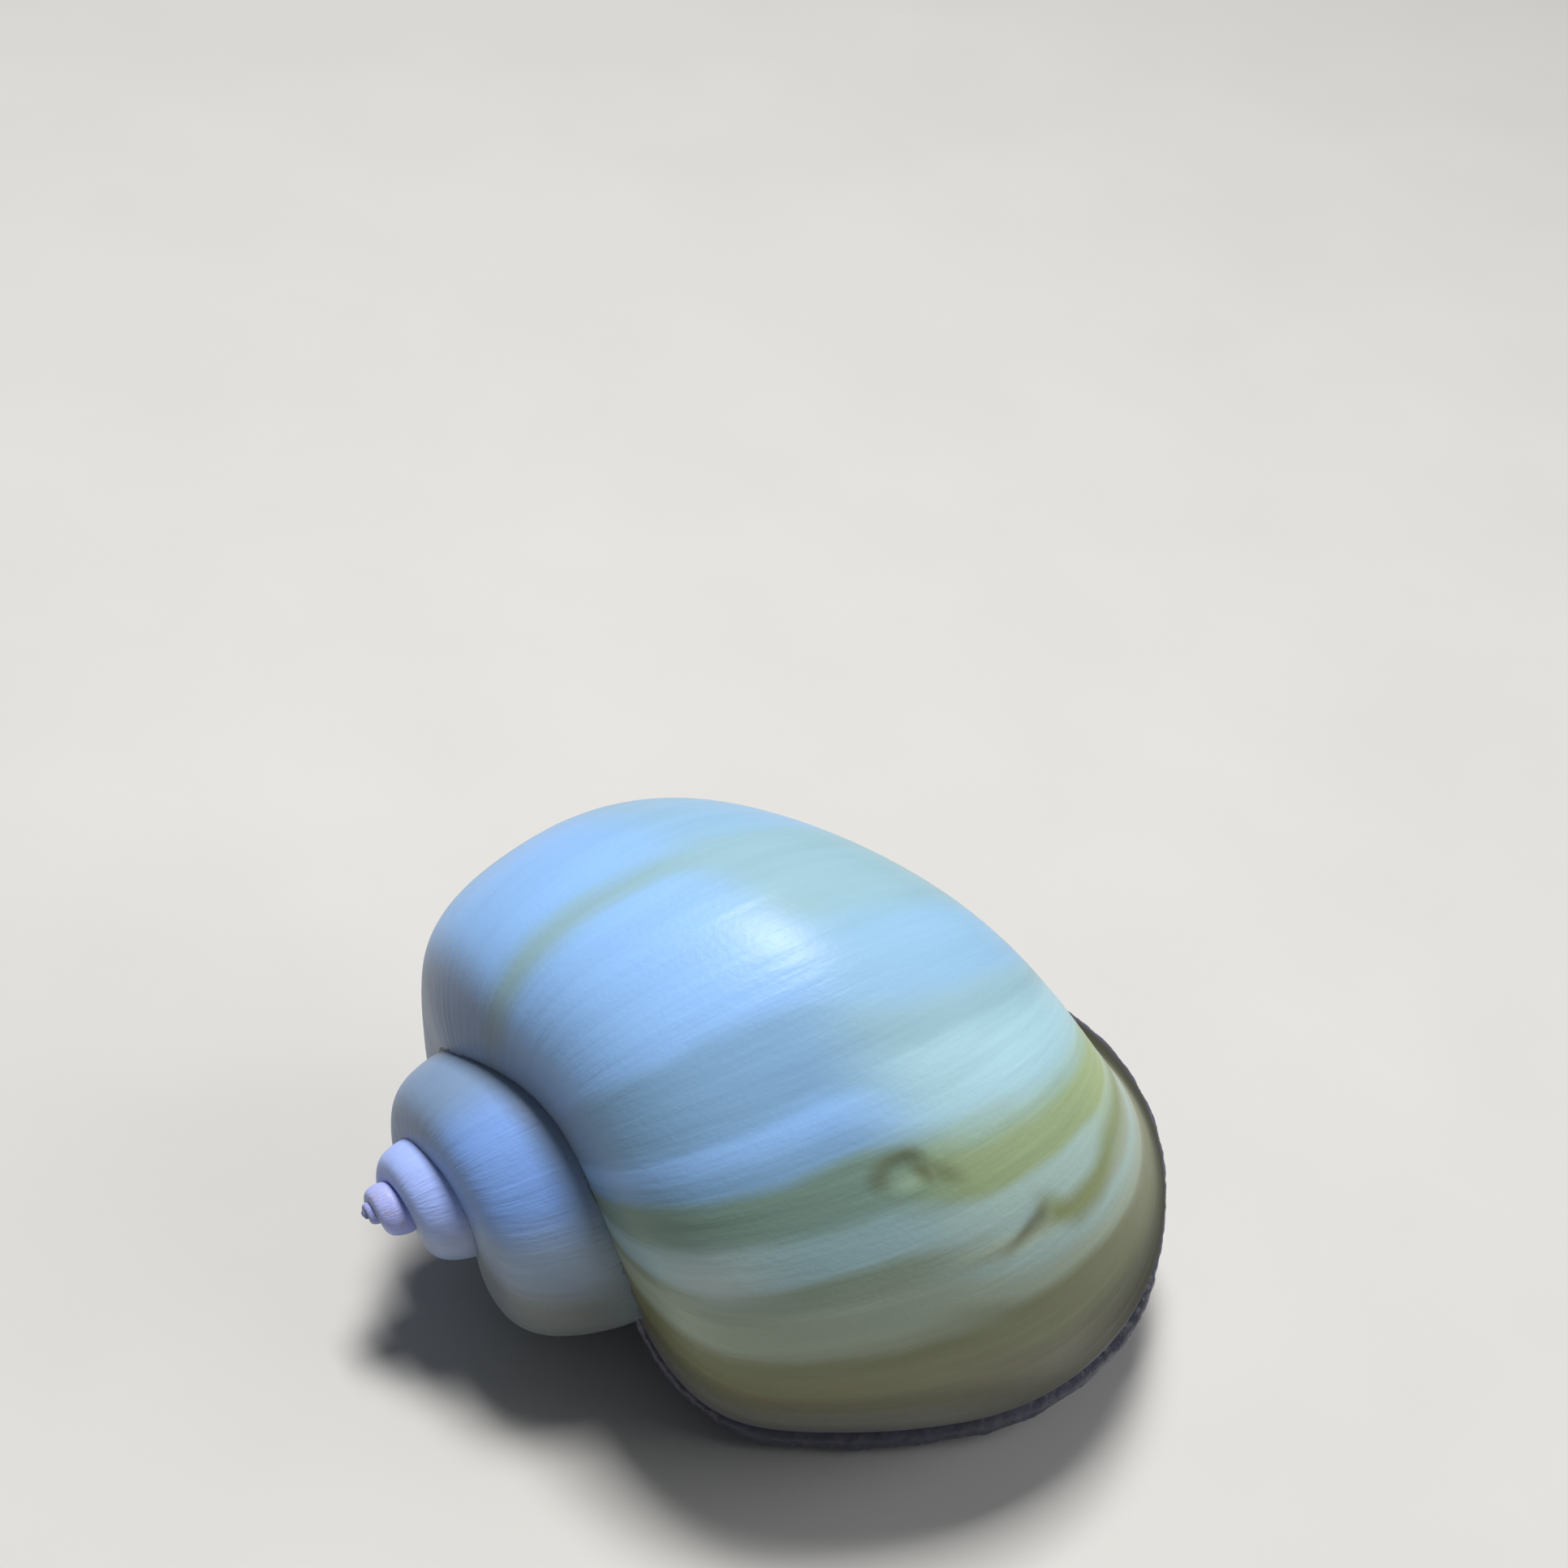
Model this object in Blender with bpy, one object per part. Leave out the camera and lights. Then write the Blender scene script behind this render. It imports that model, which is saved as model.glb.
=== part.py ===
"""Apple snail at life size, at rest: a pale turbinate shell lying over the soft body.

Metres, +Z up. The floor is z = 0. The origin lies on the foot's flat sole, near its middle.
The head points along +Y. The shell's apex points to -X and -Y.
"""

import math

import bmesh
import bpy
import numpy as np
from mathutils import Matrix, Vector

MM = 0.001
GAP = 0.3 * MM
TURN = 2.0 * math.pi

# Shell: a tube that grows as it coils round an axis. Its sizes are those at the lip.
WHORL_EXPANSION = 2.406
RADIAL_ALLOMETRY = -0.081
AXIAL_ALLOMETRY = 0.003
MOUTH_HALF_WIDTH = 13.27 * MM
MOUTH_HALF_HEIGHT = 16.82 * MM
MOUTH_FROM_AXIS = 11.37 * MM
MOUTH_BELOW_APEX = 28.75 * MM
MOUTH_TILT = math.radians(4.88)
SHOULDER_SQUARENESS = 0.47
LOWER_WIDENING = 0.015
LIP_LEAN = 0.032
AXIS_HOLE = 0.12 * MM
OUTLINE_POINTS = 34

# Spells of uneven growth: degrees back from the lip, half width in degrees, and how far the whorl
# stands out from the axis and up towards the apex, in millimetres at the size of the lip.
GROWTH_SPELLS = (
    (760.0, 90.0, 0.5, -0.55),
    (500.0, 50.0, -0.6, 0.3),
    (440.0, 38.0, -0.2, -0.5),
    (350.0, 35.0, 2.05, 0.8),
    (300.0, 38.0, 0.65, 0.0),
    (150.0, 38.0, 0.0, 1.8),
    (100.0, 38.0, 0.0, -0.8),
    (50.0, 38.0, 0.5, 0.0),
)

# Waves of the lip: degrees round the whorl, half width in degrees, and millimetres outward. They fade
# over some degrees of growth behind the lip.
LIP_WAVES = ((30.0, 28.0, -1.05), (-33.0, 30.0, 0.6))
LIP_WAVE_FADE = 26.0

# The first whorls stand a little proud: degrees back from the lip where that begins, and over how many.
SPIRE_RISE = 0.5 * MM
SPIRE_RISE_FROM = 850.0
SPIRE_RISE_OVER = 300.0

STEPS_PER_HALF_TURN = (18, 16, 13, 10, 9, 7, 6, 6)

# Core of the shell's axis: depth under the apex, and radius there.
COLUMELLA_CORE = ((1.0 * MM, 0.3 * MM), (15.0 * MM, 3.4 * MM), (20.0 * MM, 2.1 * MM))

# Place of the shell over the floor: its apex, and the turns that lay it down.
APEX = (-23.75 * MM, -14.90 * MM, 10.61 * MM)
AXIS_AZIMUTH = math.radians(-144.24)
AXIS_FROM_VERTICAL = math.radians(100.43)
LIP_SPIN = math.radians(56.75)

# Mouth of the shell: a hollow behind the lip with a thin wall, which the mantle fills.
LIP_WALL = 0.9 * MM
COLUMELLA_RADIUS = 2.2 * MM
HOLLOW_TURN = 0.62
HOLLOW_PAST_LIP = 0.06
HOLLOW_STEPS = 6

# Mantle: the plug in the mouth. Its bead over the lip is (share of the flare, rise out of the mouth).
MANTLE_FLARE = 1.0 * MM
MANTLE_BEAD = ((0.4, 0.36 * MM), (0.95, 0.6 * MM), (1.0, 0.95 * MM), (0.6, 1.3 * MM))
MANTLE_FACE = 1.5 * MM
MANTLE_FACE_INSET = 1.6 * MM
MANTLE_END_TURN = 0.04
BITE_OVERLAP = 0.12

# Foot: its middle line runs from the tail, under the mouth, to the front edge.
FOOT_TAIL = (-4.4 * MM, -11.4 * MM)
FOOT_BEND = (6.0 * MM, -6.5 * MM)
FOOT_FRONT = (6.0 * MM, 22.0 * MM)
FOOT_LENGTH = 40.0 * MM
FOOT_HALF_WIDTH = 10.0 * MM
FOOT_MARGIN = 1.1 * MM
SOLE_EDGE = 0.35 * MM
FOOT_HEIGHT = 4.0 * MM
TAIL_HEIGHT = 2.0 * MM
FRONT_DROP = 1.6 * MM
FOOT_SECTIONS = {"foot_tail": (0.0, 0.42), "foot_middle": (0.42, 0.74), "foot_front": (0.74, 1.0)}
FOOT_STEPS = 8
BACK_SHARES = (0.93, 0.84, 0.74, 0.64, 0.4, 0.0)
BACK_SLOPE = 0.36

# Stalk of the body between the foot's level back and the mouth.
STALK_FOOT = (6.5 * MM, 3.5 * MM)
STALK_FOOT_RADII = (6.4 * MM, 5.9 * MM)
STALK_TURN = math.radians(52.0)
STALK_TOP_SHIFT = (0.8 * MM, 3.6 * MM)
STALK_TOP_RADIUS = 7.6 * MM
STALK_WAIST = 0.10
STALK_POINTS = 28
STALK_LEVELS = (0.0, 0.3, 0.65, 1.0)

# Head: upright sections as (y, x from the midline, z, half width, half height), in millimetres.
HEAD_MIDLINE = 2.4
HEAD_POINTS = 20
HEAD_SECTIONS = {
    "neck": (
        (5.6, 3.4, 7.9, 4.5, 3.0),
        (8.4, 2.9, 7.9, 4.9, 3.4),
        (10.6, 1.8, 7.8, 4.6, 3.3),
        (12.4, 0.9, 7.8, 4.3, 3.2),
    ),
    "head": (
        (12.7, 0.8, 7.8, 4.3, 3.2),
        (13.8, 0.3, 7.8, 4.6, 3.3),
        (15.2, 0.0, 7.8, 4.7, 3.3),
        (16.8, 0.0, 7.6, 4.1, 3.05),
        (18.2, 0.0, 7.3, 3.4, 2.7),
    ),
    "snout": (
        (18.5, 0.0, 7.2, 3.3, 2.6),
        (20.0, 0.0, 6.5, 3.0, 2.2),
        (21.4, 0.0, 5.7, 2.8, 1.7),
        (22.3, 0.0, 5.2, 2.3, 1.2),
    ),
}

# Feelers: the route in millimetres, radii at root and tip, lengths, and steps in each length.
FEELERS = {
    "tentacle_left": (
        ((-1.2, 18.0, 9.5), (-3.2, 20.4, 9.8), (-7.2, 22.6, 8.4), (-12.0, 22.6, 6.0),
         (-16.2, 20.0, 4.0), (-19.2, 15.8, 2.6), (-20.6, 11.2, 1.9)),
        (0.95 * MM, 0.34 * MM), 4, 5,
    ),
    "tentacle_right": (
        ((6.3, 17.9, 9.5), (8.4, 18.4, 8.1), (11.8, 17.0, 5.9), (15.4, 13.4, 4.2),
         (17.6, 8.6, 2.9), (18.0, 3.6, 2.1)),
        (0.95 * MM, 0.34 * MM), 4, 5,
    ),
    "palp_left": (
        ((0.9, 22.95, 5.0), (-0.2, 24.4, 4.4), (-1.8, 26.0, 3.2), (-3.6, 26.9, 2.0)),
        (0.75 * MM, 0.32 * MM), 1, 7,
    ),
    "palp_right": (
        ((3.9, 22.95, 5.0), (5.0, 24.4, 4.4), (6.6, 26.0, 3.2), (8.4, 26.9, 2.0)),
        (0.75 * MM, 0.32 * MM), 1, 7,
    ),
}
CURVE_READINGS = 20

# Skin folds beside the neck: the route in millimetres, half widths at root and tip, half thicknesses
# there, and the depth of the opening in the tip.
NECK_FOLDS = {
    "siphon": (
        ((1.4, 2.6, 10.8), (-1.0, 5.4, 11.0), (-3.4, 8.6, 10.9), (-6.0, 11.6, 11.1)),
        (2.1 * MM, 1.9 * MM), (1.7 * MM, 1.7 * MM), 2.5 * MM,
    ),
    "nuchal_lobe_right": (
        ((10.6, 2.6, 9.4), (12.2, 5.6, 9.9), (12.7, 8.4, 9.5), (12.2, 10.9, 8.5)),
        (2.0 * MM, 1.5 * MM), (1.1 * MM, 0.7 * MM), 0.0,
    ),
}
FOLD_STEPS = 8
FOLD_POINTS = 18
FOLD_OPENING = 0.68

# Eyes, each on a short stalk that leans outward.
SIDES = {"left": -1.0, "right": 1.0}
EYE_STALK_ROOT = (3.6, 14.6, 10.6)
EYE_STALK_RISE = (0.95, 0.3, 1.35)
EYE_STALK_RADII = (0.85 * MM, 0.62 * MM)
EYE_RADIUS = 0.58 * MM
EYE_ABOVE_STALK = 0.92 * MM

# Operculum: the horny door, a thin oval on the tail, dished towards its middle.
OPERCULUM_ON_FOOT = 0.20
OPERCULUM_SHIFT = (1.3 * MM, 0.9 * MM, 1.3 * MM)
OPERCULUM_HALF_LENGTH = 6.5 * MM
OPERCULUM_HALF_WIDTH = 5.3 * MM
OPERCULUM_EGG = 0.10
OPERCULUM_RINGS = ((0.4, -0.44), (0.75, -0.42), (1.0, -0.40), (1.0, 0.0), (0.75, -0.02), (0.4, -0.06))
OPERCULUM_POINTS = 32


def clear_scene():
    for old in list(bpy.data.objects):
        bpy.data.objects.remove(old, do_unlink=True)


def new_collection(name):
    collection = bpy.data.collections.new(name)
    bpy.context.scene.collection.children.link(collection)
    return collection


def new_material(name, colour, roughness, metallic=0.0):
    material = bpy.data.materials.new(name)
    material.use_nodes = True
    shader = material.node_tree.nodes["Principled BSDF"]
    shader.inputs["Base Color"].default_value = (*colour, 1.0)
    shader.inputs["Roughness"].default_value = roughness
    shader.inputs["Metallic"].default_value = metallic
    return material


def new_object(name, data, material, collection):
    thing = bpy.data.objects.new(name, data)
    data.materials.append(material)
    collection.objects.link(thing)
    return thing


def as_cutter(thing):
    thing.hide_render = True
    thing.display_type = "WIRE"
    return thing


def add_boolean(thing, operation, other):
    boolean = thing.modifiers.new(operation.title(), "BOOLEAN")
    boolean.operation = operation
    boolean.solver = "EXACT"
    if isinstance(other, bpy.types.Collection):
        boolean.operand_type = "COLLECTION"
        boolean.collection = other
    else:
        boolean.object = other


def smooth_step(x):
    x = np.clip(x, 0.0, 1.0)
    return x * x * (3.0 - 2.0 * x)


def around(count):
    return np.linspace(0.0, TURN, count, endpoint=False)


def loft(name, rings, material, collection, sharp=math.radians(40.0)):
    """A closed body through rings of equal count, with a fan to the middle of each end ring."""
    bm = bmesh.new()
    rows = [[bm.verts.new(point) for point in ring] for ring in rings]
    count = len(rows[0])
    for row, after in zip(rows, rows[1:]):
        for i in range(count):
            j = (i + 1) % count
            bm.faces.new((row[i], row[j], after[j], after[i]))
    for row, points in ((rows[0][::-1], rings[0]), (rows[-1], rings[-1])):
        middle = bm.verts.new(np.mean(points, axis=0))
        for i in range(count):
            bm.faces.new((row[i], row[(i + 1) % count], middle))
    bmesh.ops.recalc_face_normals(bm, faces=bm.faces)
    mesh = bpy.data.meshes.new(name)
    bm.to_mesh(mesh)
    bm.free()
    mesh.shade_smooth()
    mesh.set_sharp_from_angle(angle=sharp)
    return new_object(name, mesh, material, collection)


def mouth_outline(t, inset):
    """Whorl section at the lip: t = 0 points away from the axis, and a quarter turn on, to the apex."""
    c, s = np.cos(t), np.sin(t)
    shoulder = 2.0 * np.clip(c, 0.0, 1.0) * np.clip(s, 0.0, 1.0)
    power = 2.0 / (2.0 + SHOULDER_SQUARENESS * shoulder)
    x = np.sign(c) * np.abs(c) ** power
    z = np.sign(s) * np.abs(s) ** power
    x = (MOUTH_HALF_WIDTH - inset) * x * (1.0 - LOWER_WIDENING * z)
    z = (MOUTH_HALF_HEIGHT - inset) * z
    return (
        math.cos(MOUTH_TILT) * x - math.sin(MOUTH_TILT) * z,
        math.sin(MOUTH_TILT) * x + math.cos(MOUTH_TILT) * z,
    )


def in_place(local):
    """Points given round the shell's own axis, apex at zero, laid down over the floor."""
    turn = (
        Matrix.Rotation(AXIS_AZIMUTH, 3, "Z")
        @ Matrix.Rotation(AXIS_FROM_VERTICAL, 3, "Y")
        @ Matrix.Rotation(LIP_SPIN, 3, "Z")
    )
    return local @ np.array(turn).T + np.array(APEX)


def lip_wave(degrees_back, t):
    """How far the whorl swells or draws in round its section, close to the lip."""
    wave = 0.0
    for middle, half_width, swell in LIP_WAVES:
        wave = wave + swell * MM * np.exp(-(((np.degrees(t) - middle) / half_width) ** 2))
    return wave * np.exp(-((degrees_back / LIP_WAVE_FADE) ** 2))


def uneven_growth(degrees_back):
    """How far the whorl stands out from its even course, away from the axis and towards the apex."""
    outward = np.zeros_like(degrees_back)
    upward = np.zeros_like(degrees_back)
    for middle, half_width, out, up in GROWTH_SPELLS:
        share = np.exp(-(((degrees_back - middle) / half_width) ** 2))
        outward += share * out * MM
        upward += share * up * MM
    return outward, upward


def shell_points(angle, t, inset=0.0, least_radius=AXIS_HOLE):
    """Points of the whorl at a growth angle: 0 at the lip, falling to the apex. A negative inset swells it."""
    rate = math.log(WHORL_EXPANSION) / TURN
    lean = angle + LIP_LEAN * np.sin(t)
    size = np.exp(rate * lean)
    across, along = mouth_outline(t, 0.0)
    thin_across, thin_along = mouth_outline(t, inset)
    across = across * size + (thin_across - across)
    along = along * size + (thin_along - along)
    degrees_back = -np.degrees(lean)
    outward, upward = uneven_growth(degrees_back)
    wave = lip_wave(degrees_back, t)
    across = across + wave * np.cos(t)
    along = along + wave * np.sin(t)
    radius = MOUTH_FROM_AXIS * np.exp(rate * (1.0 + RADIAL_ALLOMETRY) * lean) + across + outward * size
    radius = np.maximum(radius, least_radius)
    height = -MOUTH_BELOW_APEX * np.exp(rate * (1.0 + AXIAL_ALLOMETRY) * lean) + along + upward * size
    height += SPIRE_RISE * smooth_step((degrees_back - SPIRE_RISE_FROM) / SPIRE_RISE_OVER)
    return in_place(np.stack([radius * np.cos(lean), -radius * np.sin(lean), height], axis=-1))


def whorl(name, start, end, steps, material, collection, **shape):
    t = around(OUTLINE_POINTS)
    rings = [shell_points(angle, t, **shape) for angle in np.linspace(start, end, steps + 1)]
    return loft(name, rings, material, collection)


def mouth_frame():
    """Middle of the lip, the direction out of the mouth, and the lip's points in order."""
    lip = shell_points(0.0, around(OUTLINE_POINTS))
    middle = lip.mean(axis=0)
    _, _, axes = np.linalg.svd(lip - middle)
    out = axes[2] if axes[2][2] < 0.0 else -axes[2]
    return middle, out, lip


def columella(name, swell, material, collection):
    """A slender core that fills the axis between the whorls."""
    a = around(12)
    circle = np.stack([np.cos(a), np.sin(a), np.zeros_like(a)], axis=-1)
    rings = [in_place(circle * (radius + swell) - (0.0, 0.0, depth)) for depth, radius in COLUMELLA_CORE]
    return as_cutter(loft(name, rings, material, collection))


def make_shell(parts, cutters, upper_whorls):
    """The last half turn, hollowed behind its lip, joined to all the half turns above it."""
    lime = new_material("shell_pale_blue", (0.62, 0.68, 0.76), 0.35)
    for half, steps in enumerate(STEPS_PER_HALF_TURN[1:], 1):
        start, end = -math.pi * (half + 1), -math.pi * half
        as_cutter(whorl(f"half_turn_{half}", start, end, steps, lime, upper_whorls))
    columella("columella", 0.0, lime, upper_whorls)
    thin = {"inset": LIP_WALL, "least_radius": COLUMELLA_RADIUS}
    hollow = whorl(
        "hollow_of_mouth", -HOLLOW_TURN, HOLLOW_PAST_LIP, HOLLOW_STEPS, lime, cutters, **thin
    )
    shell = whorl("shell", -math.pi, 0.0, STEPS_PER_HALF_TURN[0], lime, parts)
    add_boolean(shell, "DIFFERENCE", as_cutter(hollow))
    add_boolean(shell, "UNION", upper_whorls)


def make_mantle(parts, cutters, flesh):
    """Plug in the mouth: inside the wall, then past the lip, then a bead over the lip's edge."""
    t = around(OUTLINE_POINTS)
    middle, out, lip = mouth_frame()
    inward = middle - lip
    inward /= np.linalg.norm(inward, axis=1)[:, None]
    thin = {"inset": LIP_WALL + GAP, "least_radius": COLUMELLA_RADIUS + GAP}
    depths = np.linspace(-HOLLOW_TURN + MANTLE_END_TURN, -MANTLE_END_TURN, HOLLOW_STEPS)
    rings = [shell_points(angle, t, **thin) for angle in depths]
    rings.append(shell_points(0.0, t, **thin) + out * 1.1 * GAP)
    for share, rise in MANTLE_BEAD:
        rings.append(lip - inward * MANTLE_FLARE * share + out * rise)
    rings.append(lip + inward * MANTLE_FACE_INSET + out * MANTLE_FACE)
    mantle = loft("mantle", rings, flesh, parts)
    for half in range(3):
        start = -math.pi * (half + 1) - BITE_OVERLAP
        end = -math.pi * half if half else -HOLLOW_TURN - BITE_OVERLAP
        bite = whorl(
            f"mantle_bite_{half}", start, end, STEPS_PER_HALF_TURN[half], flesh, cutters, inset=-GAP
        )
        add_boolean(mantle, "DIFFERENCE", as_cutter(bite))
    add_boolean(mantle, "DIFFERENCE", columella("mantle_bite_core", GAP, flesh, cutters))


def foot_line(s):
    """Middle of the foot and its heading, for s from 0 at the tail to 1 at the front."""
    tail, bend, front = (Vector(point) for point in (FOOT_TAIL, FOOT_BEND, FOOT_FRONT))
    point = tail * (1 - s) ** 2 + bend * 2 * s * (1 - s) + front * s**2
    heading = ((bend - tail) * (1 - s) + (front - bend) * s).normalized()
    return point, heading


def foot_half_width(s):
    """Rounded at the tail, widest along the middle, and cut blunt at the front."""
    tail = math.sin(min(s / 0.42, 1.0) * math.pi / 2) ** 0.75
    front = max(1.0 - (max(s - 0.60, 0.0) / 0.405) ** 5, 0.0) ** 0.5
    return FOOT_HALF_WIDTH * max(tail * front, 0.14)


def foot_height(s):
    height = TAIL_HEIGHT * smooth_step(s / 0.12 + 0.25)
    height += (FOOT_HEIGHT - TAIL_HEIGHT) * smooth_step((s - 0.42) / 0.12)
    return float(height - FRONT_DROP * smooth_step((s - 0.82) / 0.18))


def foot_ring(s):
    """Section of the foot: flat sole, thin round margin and a raised, level back."""
    point, heading = foot_line(s)
    across = Vector((heading.y, -heading.x))
    width, height = foot_half_width(s), foot_height(s)
    margin = min(FOOT_MARGIN, 0.45 * height)
    side = [(1.0 - SOLE_EDGE / width, 0.0), (1.0, 0.5 * margin)]
    for share in BACK_SHARES:
        side.append((share, margin + (height - margin) * smooth_step((1.0 - share) / BACK_SLOPE)))
    other_side = [(-share, z) for share, z in reversed(side[:-1])]
    return [(*(point + across * (share * width)), z) for share, z in side + other_side]


def make_foot(parts, flesh):
    """Three sections with a small gap between them, and closer rings where an end is round."""
    half_gap = 0.5 * GAP / FOOT_LENGTH
    even = np.linspace(0.0, 1.0, FOOT_STEPS)
    for name, (start, end) in FOOT_SECTIONS.items():
        steps = even
        if start > 0.0:
            start += half_gap
        else:
            steps = 1.0 - np.cos(0.5 * math.pi * even)
        if end < 1.0:
            end -= half_gap
        else:
            steps = np.sin(0.5 * math.pi * even)
        loft(name, [foot_ring(start + (end - start) * step) for step in steps], flesh, parts)


def stalk(name, swell, flesh, collection):
    """Stalk from the level back of the foot up to the tilted face of the mantle."""
    middle, out, _ = mouth_frame()
    a = around(STALK_POINTS)
    circle = np.stack([np.cos(a), np.sin(a)], axis=-1)
    turn = np.array(Matrix.Rotation(STALK_TURN, 2))
    base = (circle * STALK_FOOT_RADII) @ turn.T + STALK_FOOT
    base = np.column_stack([base, np.full_like(a, FOOT_HEIGHT + GAP)])
    face = middle + out * (MANTLE_FACE + 2.0 * GAP)
    top = circle @ turn.T * STALK_TOP_RADIUS + middle[:2] + STALK_TOP_SHIFT
    top = np.column_stack([top, face[2] - ((top - face[:2]) @ out[:2]) / out[2]])
    rings = []
    for share in STALK_LEVELS:
        ring = base * (1.0 - share) + top * share
        spread = ring[:, :2] - ring[:, :2].mean(axis=0)
        reach = np.linalg.norm(spread, axis=1)[:, None]
        waist = 1.0 - STALK_WAIST * math.sin(math.pi * share) + swell / reach
        rings.append(np.column_stack([ring[:, :2] + spread * (waist - 1.0), ring[:, 2]]))
    return loft(name, rings, flesh, collection)


def make_stalk(parts, cutters, flesh):
    stalk("body_stalk", 0.0, flesh, parts)
    return as_cutter(stalk("stalk_bite", GAP, flesh, cutters))


def make_head(parts, flesh, stalk_bite):
    a = around(HEAD_POINTS)
    for name, sections in HEAD_SECTIONS.items():
        rings = []
        for y, x, z, width, height in sections:
            ring = (HEAD_MIDLINE + x + width * np.cos(a), np.full_like(a, y), z + height * np.sin(a))
            rings.append(np.stack(ring, axis=-1) * MM)
        piece = loft(name, rings, flesh, parts)
        if name == "neck":
            add_boolean(piece, "DIFFERENCE", stalk_bite)


def spline_points(points, count):
    """Smooth curve through the points, read at equal steps along its length."""
    points = np.array(points)
    ends = np.vstack([2 * points[0] - points[1], points, 2 * points[-1] - points[-2]])
    fine = []
    for p0, p1, p2, p3 in zip(ends, ends[1:], ends[2:], ends[3:]):
        for u in np.linspace(0.0, 1.0, CURVE_READINGS, endpoint=False):
            slope = (p2 - p0) * u
            bend = (2 * p0 - 5 * p1 + 4 * p2 - p3) * u**2
            twist = (3 * p1 - p0 - 3 * p2 + p3) * u**3
            fine.append(p1 + 0.5 * (slope + bend + twist))
    fine = np.array(fine + [points[-1]])
    run = np.concatenate([[0.0], np.cumsum(np.linalg.norm(np.diff(fine, axis=0), axis=1))])
    at = np.linspace(0.0, run[-1], count)
    return np.stack([np.interp(at, run, fine[:, k]) for k in range(3)], axis=-1)


def tapered_tube(name, points, radii, material, collection):
    curve = bpy.data.curves.new(name, "CURVE")
    curve.dimensions = "3D"
    curve.bevel_depth = 1.0
    curve.bevel_resolution = 1
    curve.use_fill_caps = True
    spline = curve.splines.new("POLY")
    spline.points.add(len(points) - 1)
    for station, point, radius in zip(spline.points, points, radii):
        station.co = (*point, 1.0)
        station.radius = radius
    new_object(name, curve, material, collection)


def feeler(name, route, radii, lengths, steps, material, collection):
    """A tapering feeler on a smooth route, in a few lengths with a small gap between them."""
    line = spline_points(route, lengths * steps + 1)
    thickness = np.linspace(*radii, lengths * steps + 1)
    for k in range(lengths):
        run = slice(k * steps, (k + 1) * steps + 1)
        points = line[run].copy()
        if k:
            points[0] += GAP * (points[1] - points[0]) / np.linalg.norm(points[1] - points[0])
        label = f"{name}_{k + 1}" if lengths > 1 else name
        tapered_tube(label, points, thickness[run], material, collection)


def make_feelers(parts, flesh):
    for name, (route, radii, lengths, steps) in FEELERS.items():
        feeler(name, np.array(route) * MM, radii, lengths, steps, flesh, parts)


def make_neck_folds(parts, flesh, stalk_bite):
    """The siphon, a rolled fold with an open tip, and the flat lobe across the neck from it."""
    a = around(FOLD_POINTS)
    for name, (route, half_widths, half_thicknesses, opening) in NECK_FOLDS.items():
        line = spline_points(np.array(route) * MM, FOLD_STEPS)
        headings = np.gradient(line, axis=0)
        headings /= np.linalg.norm(headings, axis=1)[:, None]
        widths = np.linspace(*half_widths, FOLD_STEPS)
        thicknesses = np.linspace(*half_thicknesses, FOLD_STEPS)
        rings = []
        for point, heading, width, thickness in zip(line, headings, widths, thicknesses):
            side = np.cross(heading, (0.0, 0.0, 1.0))
            side /= np.linalg.norm(side)
            rise = np.cross(side, heading)
            rings.append(point + np.outer(width * np.cos(a), side) + np.outer(thickness * np.sin(a), rise))
        if opening:
            tip = line[-1]
            inner = tip + (rings[-1] - tip) * FOLD_OPENING
            rings += [inner, inner - headings[-1] * opening]
        add_boolean(loft(name, rings, flesh, parts), "DIFFERENCE", stalk_bite)


def make_eyes(parts, flesh):
    dark = new_material("eye_black", (0.01, 0.01, 0.012), 0.1)
    for side, sign in SIDES.items():
        x, y, z = EYE_STALK_ROOT
        root = Vector((HEAD_MIDLINE + sign * x, y, z)) * MM
        x, y, z = EYE_STALK_RISE
        top = root + Vector((sign * x, y, z)) * MM
        feeler(f"eye_stalk_{side}", (root, root.lerp(top, 0.5), top), EYE_STALK_RADII, 1, 3, flesh, parts)
        bm = bmesh.new()
        bmesh.ops.create_uvsphere(bm, u_segments=14, v_segments=8, radius=EYE_RADIUS)
        mesh = bpy.data.meshes.new(f"eye_{side}")
        bm.to_mesh(mesh)
        bm.free()
        mesh.shade_smooth()
        eye = new_object(f"eye_{side}", mesh, dark, parts)
        eye.location = top + (top - root).normalized() * EYE_ABOVE_STALK


def make_operculum(parts):
    horn = new_material("operculum_horn", (0.16, 0.085, 0.04), 0.45)
    point, heading = foot_line(OPERCULUM_ON_FOOT)
    centre = Vector((*point, TAIL_HEIGHT)) + Vector(OPERCULUM_SHIFT)
    along = Vector((*heading, 0.0)) * OPERCULUM_HALF_LENGTH
    across = Vector((-heading.y, heading.x, 0.0)) * OPERCULUM_HALF_WIDTH
    rings = []
    for share, lift in OPERCULUM_RINGS:
        ring = []
        for a in around(OPERCULUM_POINTS):
            egg = 1.0 + OPERCULUM_EGG * math.cos(a)
            edge = along * math.cos(a) + across * (egg * math.sin(a))
            ring.append(centre + edge * share + Vector((0.0, 0.0, lift * MM)))
        rings.append(ring)
    loft("operculum", rings, horn, parts)


def main():
    clear_scene()
    parts = new_collection("apple_snail")
    cutters = new_collection("cutters")
    upper_whorls = new_collection("upper_whorls")
    flesh = new_material("flesh_slate", (0.05, 0.055, 0.075), 0.45)
    make_shell(parts, cutters, upper_whorls)
    make_mantle(parts, cutters, flesh)
    make_foot(parts, flesh)
    stalk_bite = make_stalk(parts, cutters, flesh)
    make_head(parts, flesh, stalk_bite)
    make_neck_folds(parts, flesh, stalk_bite)
    make_feelers(parts, flesh)
    make_eyes(parts, flesh)
    make_operculum(parts)


main()
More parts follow.
